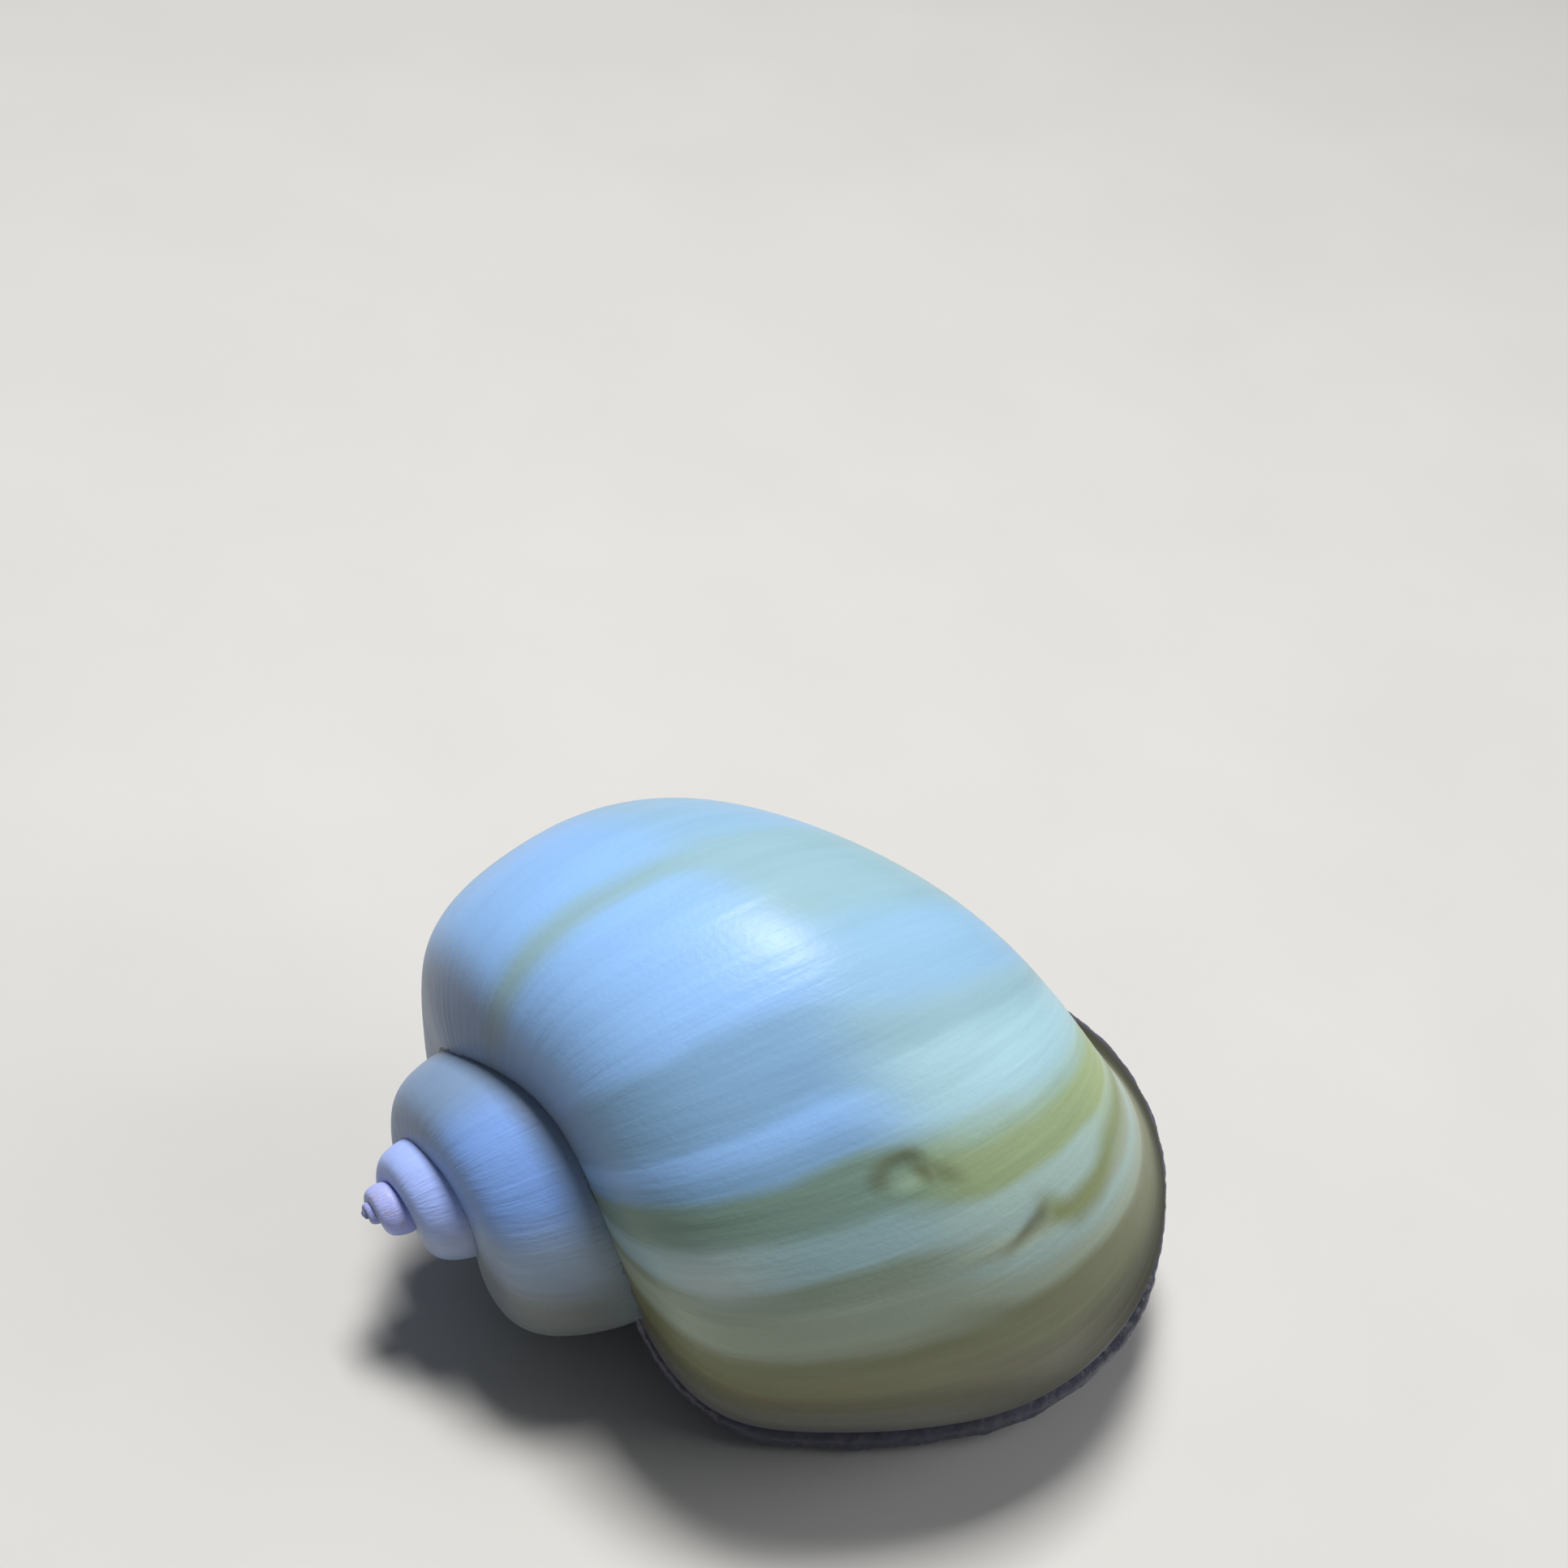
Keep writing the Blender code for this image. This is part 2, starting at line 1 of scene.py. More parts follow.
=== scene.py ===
"""Looks of the life-size apple snail: shell, skin, eyes and operculum, on a pale floor."""

import math

import bmesh
import bpy
import numpy as np
from mathutils import Matrix, Vector
from mathutils.kdtree import KDTree


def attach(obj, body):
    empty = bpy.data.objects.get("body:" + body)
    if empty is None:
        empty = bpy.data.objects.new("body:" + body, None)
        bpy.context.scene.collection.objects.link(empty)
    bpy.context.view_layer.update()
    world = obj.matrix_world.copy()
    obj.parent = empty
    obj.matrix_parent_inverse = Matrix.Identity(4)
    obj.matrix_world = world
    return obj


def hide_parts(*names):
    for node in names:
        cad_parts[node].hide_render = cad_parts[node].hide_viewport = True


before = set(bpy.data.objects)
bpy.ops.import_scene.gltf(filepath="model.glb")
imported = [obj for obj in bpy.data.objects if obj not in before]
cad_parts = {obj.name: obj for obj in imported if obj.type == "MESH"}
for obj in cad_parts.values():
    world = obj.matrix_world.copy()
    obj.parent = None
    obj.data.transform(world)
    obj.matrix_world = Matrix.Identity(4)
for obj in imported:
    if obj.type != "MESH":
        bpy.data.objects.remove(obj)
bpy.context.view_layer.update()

MM = 0.001
TURN = 2.0 * math.pi


# Mesh making

LOFT_CREASE = math.radians(40.0)


def placed(name, data):
    """An object made of the data, in the scene."""
    thing = bpy.data.objects.new(name, data)
    bpy.context.scene.collection.objects.link(thing)
    return thing


def angles_round(count, start=0.0):
    """Equal steps once round, in radians."""
    return np.linspace(start, start + TURN, count, endpoint=False)


def unit_circle(a):
    """Points of a level circle of radius one, at the angles a."""
    return np.stack([np.cos(a), np.sin(a), np.zeros_like(a)], axis=-1)


def loft(name, rings, finish):
    """Closed mesh through equal rings of points in millimetres, with a fan on each end."""
    rings = np.asarray(rings, float)
    rows, count = rings.shape[:2]
    grid = np.arange(rows * count).reshape(rows, count)
    beside = np.roll(grid, -1, axis=1)
    faces = np.stack([grid[:-1], beside[:-1], beside[1:], grid[1:]], axis=-1).reshape(-1, 4).tolist()
    first_middle = np.full(count, rows * count)
    faces += np.stack([beside[0], grid[0], first_middle], axis=-1).tolist()
    faces += np.stack([grid[-1], beside[-1], first_middle + 1], axis=-1).tolist()
    middles = np.stack([rings[0].mean(axis=0), rings[-1].mean(axis=0)])
    points = np.concatenate([rings.reshape(-1, 3), middles]) * MM
    mesh = bpy.data.meshes.new(name)
    mesh.from_pydata(points.tolist(), [], faces)
    upright = bmesh.new()
    upright.from_mesh(mesh)
    if upright.calc_volume(signed=True) < 0.0:
        bmesh.ops.reverse_faces(upright, faces=upright.faces)
    upright.to_mesh(mesh)
    upright.free()
    mesh.shade_smooth()
    mesh.set_sharp_from_angle(angle=LOFT_CREASE)
    mesh.materials.append(finish)
    return placed(name, mesh)


def settle(thing):
    """Puts the mesh that the modifiers give in their place."""
    graph = bpy.context.evaluated_depsgraph_get()
    mesh = bpy.data.meshes.new_from_object(thing.evaluated_get(graph))
    thing.modifiers.clear()
    thing.data = mesh


def combine(thing, operation, other):
    """One solid from two, and the second one removed."""
    step = thing.modifiers.new(operation, "BOOLEAN")
    step.operation = operation
    step.solver = "MANIFOLD"
    step.object = other
    settle(thing)
    bpy.data.objects.remove(other)


def mesh_points(mesh):
    """The mesh's points in millimetres."""
    flat = np.zeros(len(mesh.vertices) * 3, np.float32)
    mesh.vertices.foreach_get("co", flat)
    return flat.reshape(-1, 3).astype(float) / MM


def paint_attribute(mesh, name, values):
    """A value at each point of the mesh, for the materials to read."""
    attribute = mesh.attributes.new(name, "FLOAT", "POINT")
    attribute.data.foreach_set("value", np.asarray(values, np.float32))


def smooth_step(x, low=0.0, high=1.0):
    """Zero up to low, one from high on, and smooth between them."""
    x = np.clip((x - low) / (high - low), 0.0, 1.0)
    return x * x * (3.0 - 2.0 * x)


def bump_at(x, middle, half_width):
    """A smooth hump of height one."""
    return np.exp(-(((x - middle) / half_width) ** 2))


# Shader maths


class Signal:
    """A shader value or colour. Arithmetic on a value adds its Math nodes."""

    def __init__(self, finish, socket):
        self.finish = finish
        self.socket = socket

    def maths(self, operation, *others):
        return self.finish.add("ShaderNodeMath", {"operation": operation}, (self, *others))

    def __add__(self, other):
        return self.maths("ADD", other)

    def __mul__(self, other):
        return self.maths("MULTIPLY", other)

    def __sub__(self, other):
        return self.maths("SUBTRACT", other)

    def __rsub__(self, other):
        return self.finish.add("ShaderNodeMath", {"operation": "SUBTRACT"}, (other, self))

    __radd__ = __add__
    __rmul__ = __mul__

    def size(self):
        return self.maths("ABSOLUTE")

    def wave(self):
        return self.maths("SINE")

    def power(self, exponent):
        return self.maths("POWER", exponent)

    def highest(self, other):
        return self.maths("MAXIMUM", other)

    def between(self, low, high, start=0.0, end=1.0):
        """A smooth step from start to end as the value goes from low to high."""
        settings = {"interpolation_type": "SMOOTHSTEP"}
        return self.finish.add("ShaderNodeMapRange", settings, (self, low, high, start, end))

    def streak(self, middle, half_width):
        """One at the middle, falling smoothly to nothing at the half width."""
        return (self - middle).size().between(half_width, 0.0)


class Finish:
    """One procedural material."""

    def __init__(self, name, **constants):
        self.material = bpy.data.materials.new(name)
        self.material.use_nodes = True
        self.tree = self.material.node_tree
        self.surface = self.tree.nodes["Principled BSDF"]
        for socket, value in constants.items():
            self.surface.inputs[socket.replace("_", " ")].default_value = value

    def plug(self, socket, value):
        if isinstance(value, Signal):
            self.tree.links.new(value.socket, socket)
        elif hasattr(socket.default_value, "__len__") and len(socket.default_value) == 4:
            socket.default_value = (*value, 1.0)
        else:
            socket.default_value = value

    def add(self, kind, settings=None, values=(), output=0):
        """A node of any kind. Its settings come first, then its values in order or by name."""
        node = self.tree.nodes.new(kind)
        for name, value in (settings or {}).items():
            setattr(node, name, value)
        named = values.items() if isinstance(values, dict) else enumerate(values)
        for key, value in named:
            self.plug(node.inputs[key], value)
        return Signal(self, node.outputs[output])

    def attribute(self, name):
        return self.add("ShaderNodeAttribute", {"attribute_name": name}, output="Fac")

    def place(self):
        return self.add("ShaderNodeTexCoord", output="Object")

    def vector(self, x, y, z):
        return self.add("ShaderNodeCombineXYZ", values=(x, y, z))

    def mottle(self, where, scale, detail=3.0, roughness=0.5):
        values = {"Vector": where, "Scale": scale, "Detail": detail, "Roughness": roughness}
        return self.add("ShaderNodeTexNoise", values=values)

    def cells(self, where, scale, feature):
        """Distance from the middle of the nearest of many scattered cells."""
        values = {"Vector": where, "Scale": scale}
        return self.add("ShaderNodeTexVoronoi", {"feature": feature}, values, output="Distance")

    def blend(self, first, second, share, mode="MIX"):
        settings = {"data_type": "RGBA", "blend_type": mode}
        return self.add("ShaderNodeMix", settings, {0: share, 6: first, 7: second}, output=2)

    def relief(self, *layers):
        """Bumps of (height, distance in metres), each on top of the last."""
        normal = None
        for height, distance in layers:
            values = {"Height": height, "Distance": distance}
            if normal is not None:
                values["Normal"] = normal
            normal = self.add("ShaderNodeBump", values=values)
        return normal

    def finish(self, **links):
        for socket, value in links.items():
            self.plug(self.surface.inputs[socket.replace("_", " ")], value)
        return self.material


# Shell finish

CLEAR_BLUE = (0.26, 0.47, 0.82)
SOFT_BLUE = (0.25, 0.43, 0.61)
GREY_BLUE = (0.20, 0.36, 0.56)
HAZE_GREEN = (0.26, 0.42, 0.49)
AQUA = (0.34, 0.54, 0.62)
SEA_GREEN = (0.18, 0.275, 0.235)
PALE_STONE = (0.35, 0.48, 0.45)
MOSS = (0.28, 0.365, 0.20)
PALE_MOSS = (0.34, 0.43, 0.20)
GREY_GREEN = (0.33, 0.395, 0.31)
OLIVE = (0.19, 0.205, 0.11)
DARK_OLIVE = (0.135, 0.14, 0.085)
LIP_OLIVE = (0.095, 0.095, 0.065)
SLATE_GREY = (0.16, 0.16, 0.138)
MISTY_BLUE = (0.30, 0.45, 0.48)
DULL_GREEN = (0.235, 0.30, 0.23)
# Partly the shell's own grey-olive, partly painted shade of the whorl's underside near the floor.
STONE_GREY_AND_SHADE = (0.19, 0.21, 0.20)
MILKY_BLUE = (0.32, 0.42, 0.56)
PERIWINKLE = (0.21, 0.375, 0.79)
HAZE_BLUE = (0.21, 0.31, 0.48)
# Painted shade for the lower sutures of the spire.
SPIRE_SEAM_SHADE_GREY = (0.22, 0.27, 0.29)
GREY_LAVENDER = (0.38, 0.45, 0.66)
LAVENDER = (0.38, 0.50, 0.95)
PALE_LAVENDER = (0.42, 0.47, 0.88)
PALE_CHALK = (0.54, 0.64, 0.62)
RUST = (0.21, 0.145, 0.085)
# Painted shade for the creases between whorls.
SUTURE_SHADE_GREY = (0.17, 0.205, 0.28)
# Painted shade that darkens the shoulder by the suture behind the lip.
SUTURE_SHADE_TINT = (0.70, 0.66, 0.64)
# Painted shade for the low side of the shell by the lip.
LIP_SHADE_TINT = (0.46, 0.48, 0.42)
LIP_LINE = (0.20, 0.21, 0.26)
LIP_DARK = (0.055, 0.055, 0.07)
HOOK_OLIVE = (0.20, 0.235, 0.075)
SCAR_BROWN = (0.10, 0.095, 0.035)
EROSION = (0.42, 0.36, 0.34)

# Bands of growth as degrees back from the lip and tone, above and below the middle of the whorl.
UPPER_BANDS = (
    (133.0, CLEAR_BLUE),
    (127.0, HAZE_GREEN),
    (120.0, CLEAR_BLUE),
    (97.0, CLEAR_BLUE),
    (92.0, GREY_BLUE),
    (81.0, GREY_BLUE),
    (76.0, CLEAR_BLUE),
    (71.5, GREY_BLUE),
    (68.0, SEA_GREEN),
    (62.5, SEA_GREEN),
    (57.5, MISTY_BLUE),
    (54.5, MISTY_BLUE),
    (51.0, DULL_GREEN),
    (46.5, GREY_GREEN),
    (41.0, GREY_GREEN),
    (35.0, OLIVE),
    (28.0, OLIVE),
    (22.0, DARK_OLIVE),
    (12.0, SLATE_GREY),
)
LOWER_BANDS = (
    (138.0, SOFT_BLUE),
    (130.0, HAZE_GREEN),
    (114.0, HAZE_GREEN),
    (104.0, SOFT_BLUE),
    (95.0, SOFT_BLUE),
    (88.0, HAZE_GREEN),
    (82.0, AQUA),
    (75.0, AQUA),
    (67.5, MOSS),
    (63.0, MOSS),
    (60.0, PALE_STONE),
    (56.5, PALE_STONE),
    (52.5, GREY_GREEN),
    (49.0, PALE_STONE),
    (44.5, GREY_GREEN),
    (40.0, OLIVE),
    (34.0, OLIVE),
    (28.0, DARK_OLIVE),
    (18.0, LIP_OLIVE),
)
# Bands of the spire. The grey where the spire starts is partly the shell's own tone and partly painted shade
# near the floor.
SPIRE_BANDS = (
    (376.0, STONE_GREY_AND_SHADE),
    (402.0, MILKY_BLUE),
    (430.0, PERIWINKLE),
    (458.0, PERIWINKLE),
    (490.0, HAZE_BLUE),
    (690.0, HAZE_BLUE),
    (745.0, GREY_LAVENDER),
    (795.0, LAVENDER),
    (900.0, LAVENDER),
    (1020.0, PALE_LAVENDER),
)

# The hooked notch, in degrees: its growth angle in the middle of the whorl, and its slant across it.
NOTCH_GROWTH = -43.1
NOTCH_SLANT = 0.23


def banded(lime, line, bands):
    """Tones in turn along the growth lines, each melting into the next."""
    colour = bands[0][1]
    for (back, _), (next_back, tone) in zip(bands, bands[1:]):
        colour = lime.blend(colour, tone, line.between(-back, -next_back))
    return colour


def older_bands(lime, line, around):
    """Faint haze on the far side, older than the banded stretch."""
    cloud = lime.mottle(lime.vector(line * 0.05, around * 0.006, 11.0), 1.0, 2.0)
    return cloud.between(0.46, 0.66) * line.between(-150.0, -172.0) * 0.7


def olive_of_hook(growth, around, sway):
    """The olive band that bends down to the hooked notch."""
    bend = around.between(-34.0, -24.0) * 4.0 + around.between(-41.0, -55.0) * 2.4
    return (growth + 45.4 + bend + sway).streak(0.0, 5.2) * around.between(-21.0, -29.0) * 0.8


def suture_shade(growth, around):
    """Painted shade: grey in the crease where a whorl meets the one before it. It fades in behind the lip and
    is weaker on the spire.
    """
    shoulder = around + growth.between(-112.0, -150.0) * 16.0
    strength = 0.8 - growth.between(-300.0, -380.0) * 0.4
    return shoulder.between(58.0, 82.0) * growth.between(-64.0, -92.0) * strength


def lip_shade(growth, around):
    """How dull the youngest shell is, low on the lip side, and how much painted shade darkens it there."""
    return around.between(-12.0, -46.0) * growth.between(-34.0, -8.0)


def shell_colour(lime, growth, around, fine_lines, soft_lines):
    """Banded whorl and spire, then the stains and shades that lie over them."""
    lean = around.between(10.0, -22.0) * 6.0 + around.between(-22.0, -62.0) * 2.5
    sway = lime.mottle(lime.vector(growth * 0.02, around * 0.035, 2.0), 1.0, 2.0) - 0.5
    line = growth - lean + sway * 3.0 + (soft_lines - 0.5) * 5.0
    upper = banded(lime, line, UPPER_BANDS)
    lower = banded(lime, line, LOWER_BANDS)
    whorl = lime.blend(upper, lower, around.between(10.0, -16.0))
    chalk = around.streak(47.0, 26.0) * line.streak(-55.0, 9.0) * 0.75
    edge_moss = around.between(-42.0, -66.0) * line.streak(-64.0, 15.0) * 0.6
    rust = line.streak(-27.0, 7.0) * around.between(-24.0, 4.0) * soft_lines.between(0.42, 0.62) * 0.45
    whorl_stains = (
        (HAZE_GREEN, older_bands(lime, line, around)),
        (PALE_CHALK, chalk),
        (PALE_MOSS, edge_moss),
        (HOOK_OLIVE, olive_of_hook(growth, around, sway)),
        (RUST, rust),
    )
    for tone, share in whorl_stains:
        whorl = lime.blend(whorl, tone, share)
    spire = banded(lime, growth, SPIRE_BANDS)
    # Painted shade: grey along the lower suture of each spire whorl.
    seam = around.between(16.0, -6.0) * growth.between(-900.0, -600.0) * 0.7
    spire = lime.blend(spire, SPIRE_SEAM_SHADE_GREY, seam)
    colour = lime.blend(whorl, spire, growth.between(-175.0, -380.0))
    # Painted shade, grey, in the crease where each whorl meets the one before it.
    colour = lime.blend(colour, SUTURE_SHADE_GREY, suture_shade(growth, around))
    # Painted shade: darker where the last whorl meets the one before it, behind the lip.
    near_lip_suture_shade = around.between(60.0, 86.0) * growth.between(-92.0, -64.0) * 0.7
    colour = lime.blend(colour, SUTURE_SHADE_TINT, near_lip_suture_shade, "MULTIPLY")
    # Painted shade: darker low on the lip side, towards the mouth's edge.
    colour = lime.blend(colour, LIP_SHADE_TINT, lip_shade(growth, around), "MULTIPLY")
    tone = 0.88 + 0.24 * (fine_lines * 0.35 + soft_lines * 0.65)
    return lime.blend(colour, lime.vector(tone, tone, tone), 1.0, "MULTIPLY")


def scars(growth, around):
    """Brown stain of the old dimple, its smear towards the lip side, and the hooked notch."""
    along = growth + 65.0
    across = around - 0.5
    from_middle = (along * along * 0.20 + across * across * 0.050).power(0.5)
    ring = from_middle.streak(1.0, 0.95) * (growth - around * 0.3).between(-62.0, -67.0) * 0.85
    slot = (growth + 64.4 + around * 0.25).streak(0.0, 2.6) * around.streak(-3.8, 3.8)
    smear = (growth + 65.6 + around * 0.43).streak(0.0, 3.0) * around.streak(-7.5, 6.5) * 0.75
    from_notch = growth - NOTCH_GROWTH - around * NOTCH_SLANT
    notch = from_notch.streak(0.0, 2.4) * around.between(-8.0, -22.0) * around.between(-28.0, -24.5)
    return ring.highest(slot).highest(smear).highest(notch)


def shell_finish():
    lime = Finish("satin_shell", Coat_Roughness=0.24, Coat_IOR=1.35, Specular_IOR_Level=0.16)
    growth = lime.attribute("growth")
    around = lime.attribute("around")
    place = lime.place()
    fine_lines = lime.mottle(lime.vector(growth * 0.8, around * 0.018, 0.0), 1.0, 3.0, 0.6)
    soft_lines = lime.mottle(lime.vector(growth * 0.20, around * 0.016, 7.0), 1.0, 3.0, 0.55)
    colour = shell_colour(lime, growth, around, fine_lines, soft_lines)
    colour = lime.blend(colour, SCAR_BROWN, scars(growth, around) * 0.62)
    reach = growth + 0.6 + around.streak(-34.0, 26.0) * 1.9
    pale_line = reach.streak(-3.0, 1.8) * around.between(-85.0, -25.0) * 0.7
    colour = lime.blend(colour, LIP_LINE, pale_line)
    colour = lime.blend(colour, LIP_DARK, reach.between(-1.4, 0.2))
    wear = growth.between(-900.0, -1100.0) * lime.mottle(place, 1700.0, 3.0).between(0.54, 0.70)
    colour = lime.blend(colour, EROSION, wear * 0.4)
    grain = lime.mottle(place, 2600.0, 3.0)
    normal = lime.relief((soft_lines, 0.00008), (fine_lines, 0.00002), (grain, 0.00002))
    dull = lip_shade(growth, around)
    roughness = 0.38 + (lime.mottle(place, 420.0, 4.0) - 0.5) * 0.14 + wear * 0.2 + dull * 0.35
    coat = 0.12 - wear * 0.10 - dull * 0.11
    return lime.finish(Base_Color=colour, Roughness=roughness, Coat_Weight=coat, Normal=normal)


# Finishes of the soft body, the eyes and the operculum

SLATE = (0.020, 0.024, 0.040)
SLATE_BLUE = (0.055, 0.065, 0.105)
GOLD = (0.50, 0.34, 0.09)
EDGE_GREY = (0.22, 0.23, 0.30)
RIM_VIOLET = (0.078, 0.078, 0.112)
EYE_BLACK = (0.006, 0.006, 0.008)
IRIS_GOLD = (0.30, 0.20, 0.06)
DARK_HORN = (0.055, 0.022, 0.008)
BROWN_HORN = (0.20, 0.095, 0.035)
AMBER_HORN = (0.30, 0.17, 0.07)


def skin_finish():
    skin = Finish("wet_slate_skin", Coat_Roughness=0.18, Coat_IOR=1.35, Specular_IOR_Level=0.5)
    place = skin.place()
    rim = skin.attribute("rim")
    cloud = skin.mottle(place, 260.0, 4.0).between(0.35, 0.68)
    colour = skin.blend(SLATE, SLATE_BLUE, cloud)
    colour = skin.blend(colour, EDGE_GREY, skin.attribute("pale_edge") * 0.8)
    colour = skin.blend(colour, RIM_VIOLET, rim * 0.7)
    patches = skin.mottle(place, 330.0, 3.0).between(0.46, 0.62)
    specks = skin.cells(place, 1500.0, "F1").between(0.30, 0.16) * patches * (1.0 - rim * 0.92)
    colour = skin.blend(colour, GOLD, specks * 0.75)
    folds = skin.cells(place, 1250.0, "SMOOTH_F1")
    normal = skin.relief((folds, 0.00013), (skin.mottle(place, 4600.0, 3.0), 0.00005))
    roughness = 0.40 + (cloud - 0.5) * 0.14
    coat = 0.36 - specks * 0.2
    return skin.finish(Base_Color=colour, Roughness=roughness, Coat_Weight=coat, Normal=normal)


def eye_finish():
    eye = Finish("wet_black_eye", Coat_Weight=1.0, Coat_Roughness=0.03, Specular_IOR_Level=0.6)
    flecks = eye.mottle(eye.place(), 2400.0, 3.0).between(0.52, 0.66)
    iris = eye.attribute("iris")
    colour = eye.blend(EYE_BLACK, IRIS_GOLD, iris * (0.35 + 0.65 * flecks))
    return eye.finish(Base_Color=colour, Roughness=0.08 + 0.2 * flecks * iris)


def horn_finish():
    horn = Finish("brown_horn", Coat_Roughness=0.25, Specular_IOR_Level=0.45)
    rings = horn.attribute("rings")
    grain = horn.mottle(horn.place(), 700.0, 5.0)
    bands = (rings * 46.0 + grain * 3.5).wave().between(-1.0, 1.0)
    colour = horn.blend(DARK_HORN, BROWN_HORN, bands)
    colour = horn.blend(colour, AMBER_HORN, (1.0 - rings).between(0.7, 1.0) * 0.6)
    normal = horn.relief((bands, 0.00006), (grain, 0.00005))
    roughness = 0.38 + 0.15 * grain
    coat = 0.25 * bands
    return horn.finish(Base_Color=colour, Roughness=roughness, Coat_Weight=coat, Normal=normal)


# Shell, with lengths in millimetres. Its growth angle, in radians, is zero at the lip and falls to the apex.

WHORL_EXPANSION = 2.406
GROWTH_RATE = math.log(WHORL_EXPANSION) / TURN
RADIAL_ALLOMETRY = -0.081
AXIAL_ALLOMETRY = 0.003
MOUTH_HALF_WIDTH = 13.27
MOUTH_HALF_HEIGHT = 16.82
MOUTH_FROM_AXIS = 11.37
MOUTH_BELOW_APEX = 28.75
MOUTH_TILT = math.radians(4.88)
SHOULDER_SQUARENESS = 0.47
LOWER_WIDENING = 0.015
LIP_LEAN = 0.032
AXIS_HOLE = 0.12
APEX = (-23.75, -14.90, 10.61)
AXIS_AZIMUTH = math.radians(-144.24)
AXIS_FROM_VERTICAL = math.radians(100.43)
LIP_SPIN = math.radians(56.75)

# Spells of uneven growth: degrees back from the lip, half width, swell outward and swell towards the apex.
GROWTH_SPELLS = (
    (760.0, 90.0, 0.5, -0.55),
    (500.0, 50.0, -0.6, 0.3),
    (440.0, 38.0, -0.2, -0.5),
    (350.0, 35.0, 2.05, 0.8),
    (300.0, 38.0, 0.65, 0.0),
    (150.0, 38.0, 0.0, 1.8),
    (100.0, 38.0, 0.0, -0.8),
    (50.0, 38.0, 0.5, 0.0),
)
SPIRE_RISE = 0.5
SPIRE_RISE_FROM = 850.0
SPIRE_RISE_TO = 1150.0

# Waves of the lip: degrees round the section, half width and swell.
LIP_WAVES = ((30.0, 28.0, -1.05), (-33.0, 30.0, 0.6))
LIP_WAVE_FADE = 26.0

# Fine relief of the outside, at its size by the lip. Places and half widths in degrees.
GROWTH_LINE_HEIGHT = 0.011
CROSS_LINE_HEIGHT = 0.006
REST_MARKS = (-4.5, -13.0, -21.5, -34.0, -47.0, -69.0)
REST_MARK_HEIGHT = 0.035
REST_MARK_HALF_WIDTH = 1.6
DIMPLE = (-64.6, -0.5)
DIMPLE_HALF_WIDTHS = (2.2, 4.4)
DIMPLE_DEPTH = 0.34
DIMPLE_RIM = 0.08
NOTCH_AROUND = -20.0
NOTCH_HALF_WIDTHS = (1.2, 4.6)
NOTCH_DEPTH = 0.22

# Each half turn of the shell has its own count of steps, from the lip back to the apex.
WHORL_POINTS = 224
WHORL_STEPS = (230, 180, 140, 100, 70, 50, 36, 28, 22, 18)
ROUND_WHORL = angles_round(WHORL_POINTS, -math.pi)
DOME_LEANS = np.radians((84.0, 72.0, 58.0, 42.0, 22.0))
FIRST_BULB_RADIUS = 0.31
FIRST_BULB_HEIGHT = 0.10
FIRST_BULB_STRETCH = 1.1
COLUMELLA_RADIUS = 2.2
COLUMELLA_CORE = ((1.0, 0.3), (15.0, 3.4), (20.0, 2.1))
HOLLOW_TURN = 0.62
HOLLOW_PAST_LIP = 0.06
HOLLOW_STEPS = 60
LIP_WALL = 0.9
LIP_EDGE_WALL = 0.5
LIP_THINNING_TURN = 0.16
SHELL_CREASE = math.radians(35.0)


def mouth_outline(t, inset):
    """Whorl section at the lip: t = 0 points away from the axis, and a quarter turn on, to the apex."""
    c, s = np.cos(t), np.sin(t)
    shoulder = 2.0 * np.clip(c, 0.0, 1.0) * np.clip(s, 0.0, 1.0)
    power = 2.0 / (2.0 + SHOULDER_SQUARENESS * shoulder)
    x = np.sign(c) * np.abs(c) ** power
    z = np.sign(s) * np.abs(s) ** power
    x = (MOUTH_HALF_WIDTH - inset) * x * (1.0 - LOWER_WIDENING * z)
    z = (MOUTH_HALF_HEIGHT - inset) * z
    return (
        math.cos(MOUTH_TILT) * x - math.sin(MOUTH_TILT) * z,
        math.sin(MOUTH_TILT) * x + math.cos(MOUTH_TILT) * z,
    )


def in_place(local):
    """Points given round the shell's own axis, apex at zero, laid down over the floor."""
    turn = (
        Matrix.Rotation(AXIS_AZIMUTH, 3, "Z")
        @ Matrix.Rotation(AXIS_FROM_VERTICAL, 3, "Y")
        @ Matrix.Rotation(LIP_SPIN, 3, "Z")
    )
    return local @ np.array(turn).T + np.array(APEX)


def lip_wave(degrees_back, t):
    """How far the whorl swells or draws in round its section, close to the lip."""
    wave = sum(swell * bump_at(np.degrees(t), middle, half_width) for middle, half_width, swell in LIP_WAVES)
    return wave * bump_at(degrees_back, 0.0, LIP_WAVE_FADE)


def uneven_growth(degrees_back):
    """How far the whorl stands out from its even course, away from the axis and towards the apex."""
    outward = np.zeros_like(degrees_back)
    upward = np.zeros_like(degrees_back)
    for middle, half_width, out, up in GROWTH_SPELLS:
        share = bump_at(degrees_back, middle, half_width)
        outward += share * out
        upward += share * up
    return outward, upward


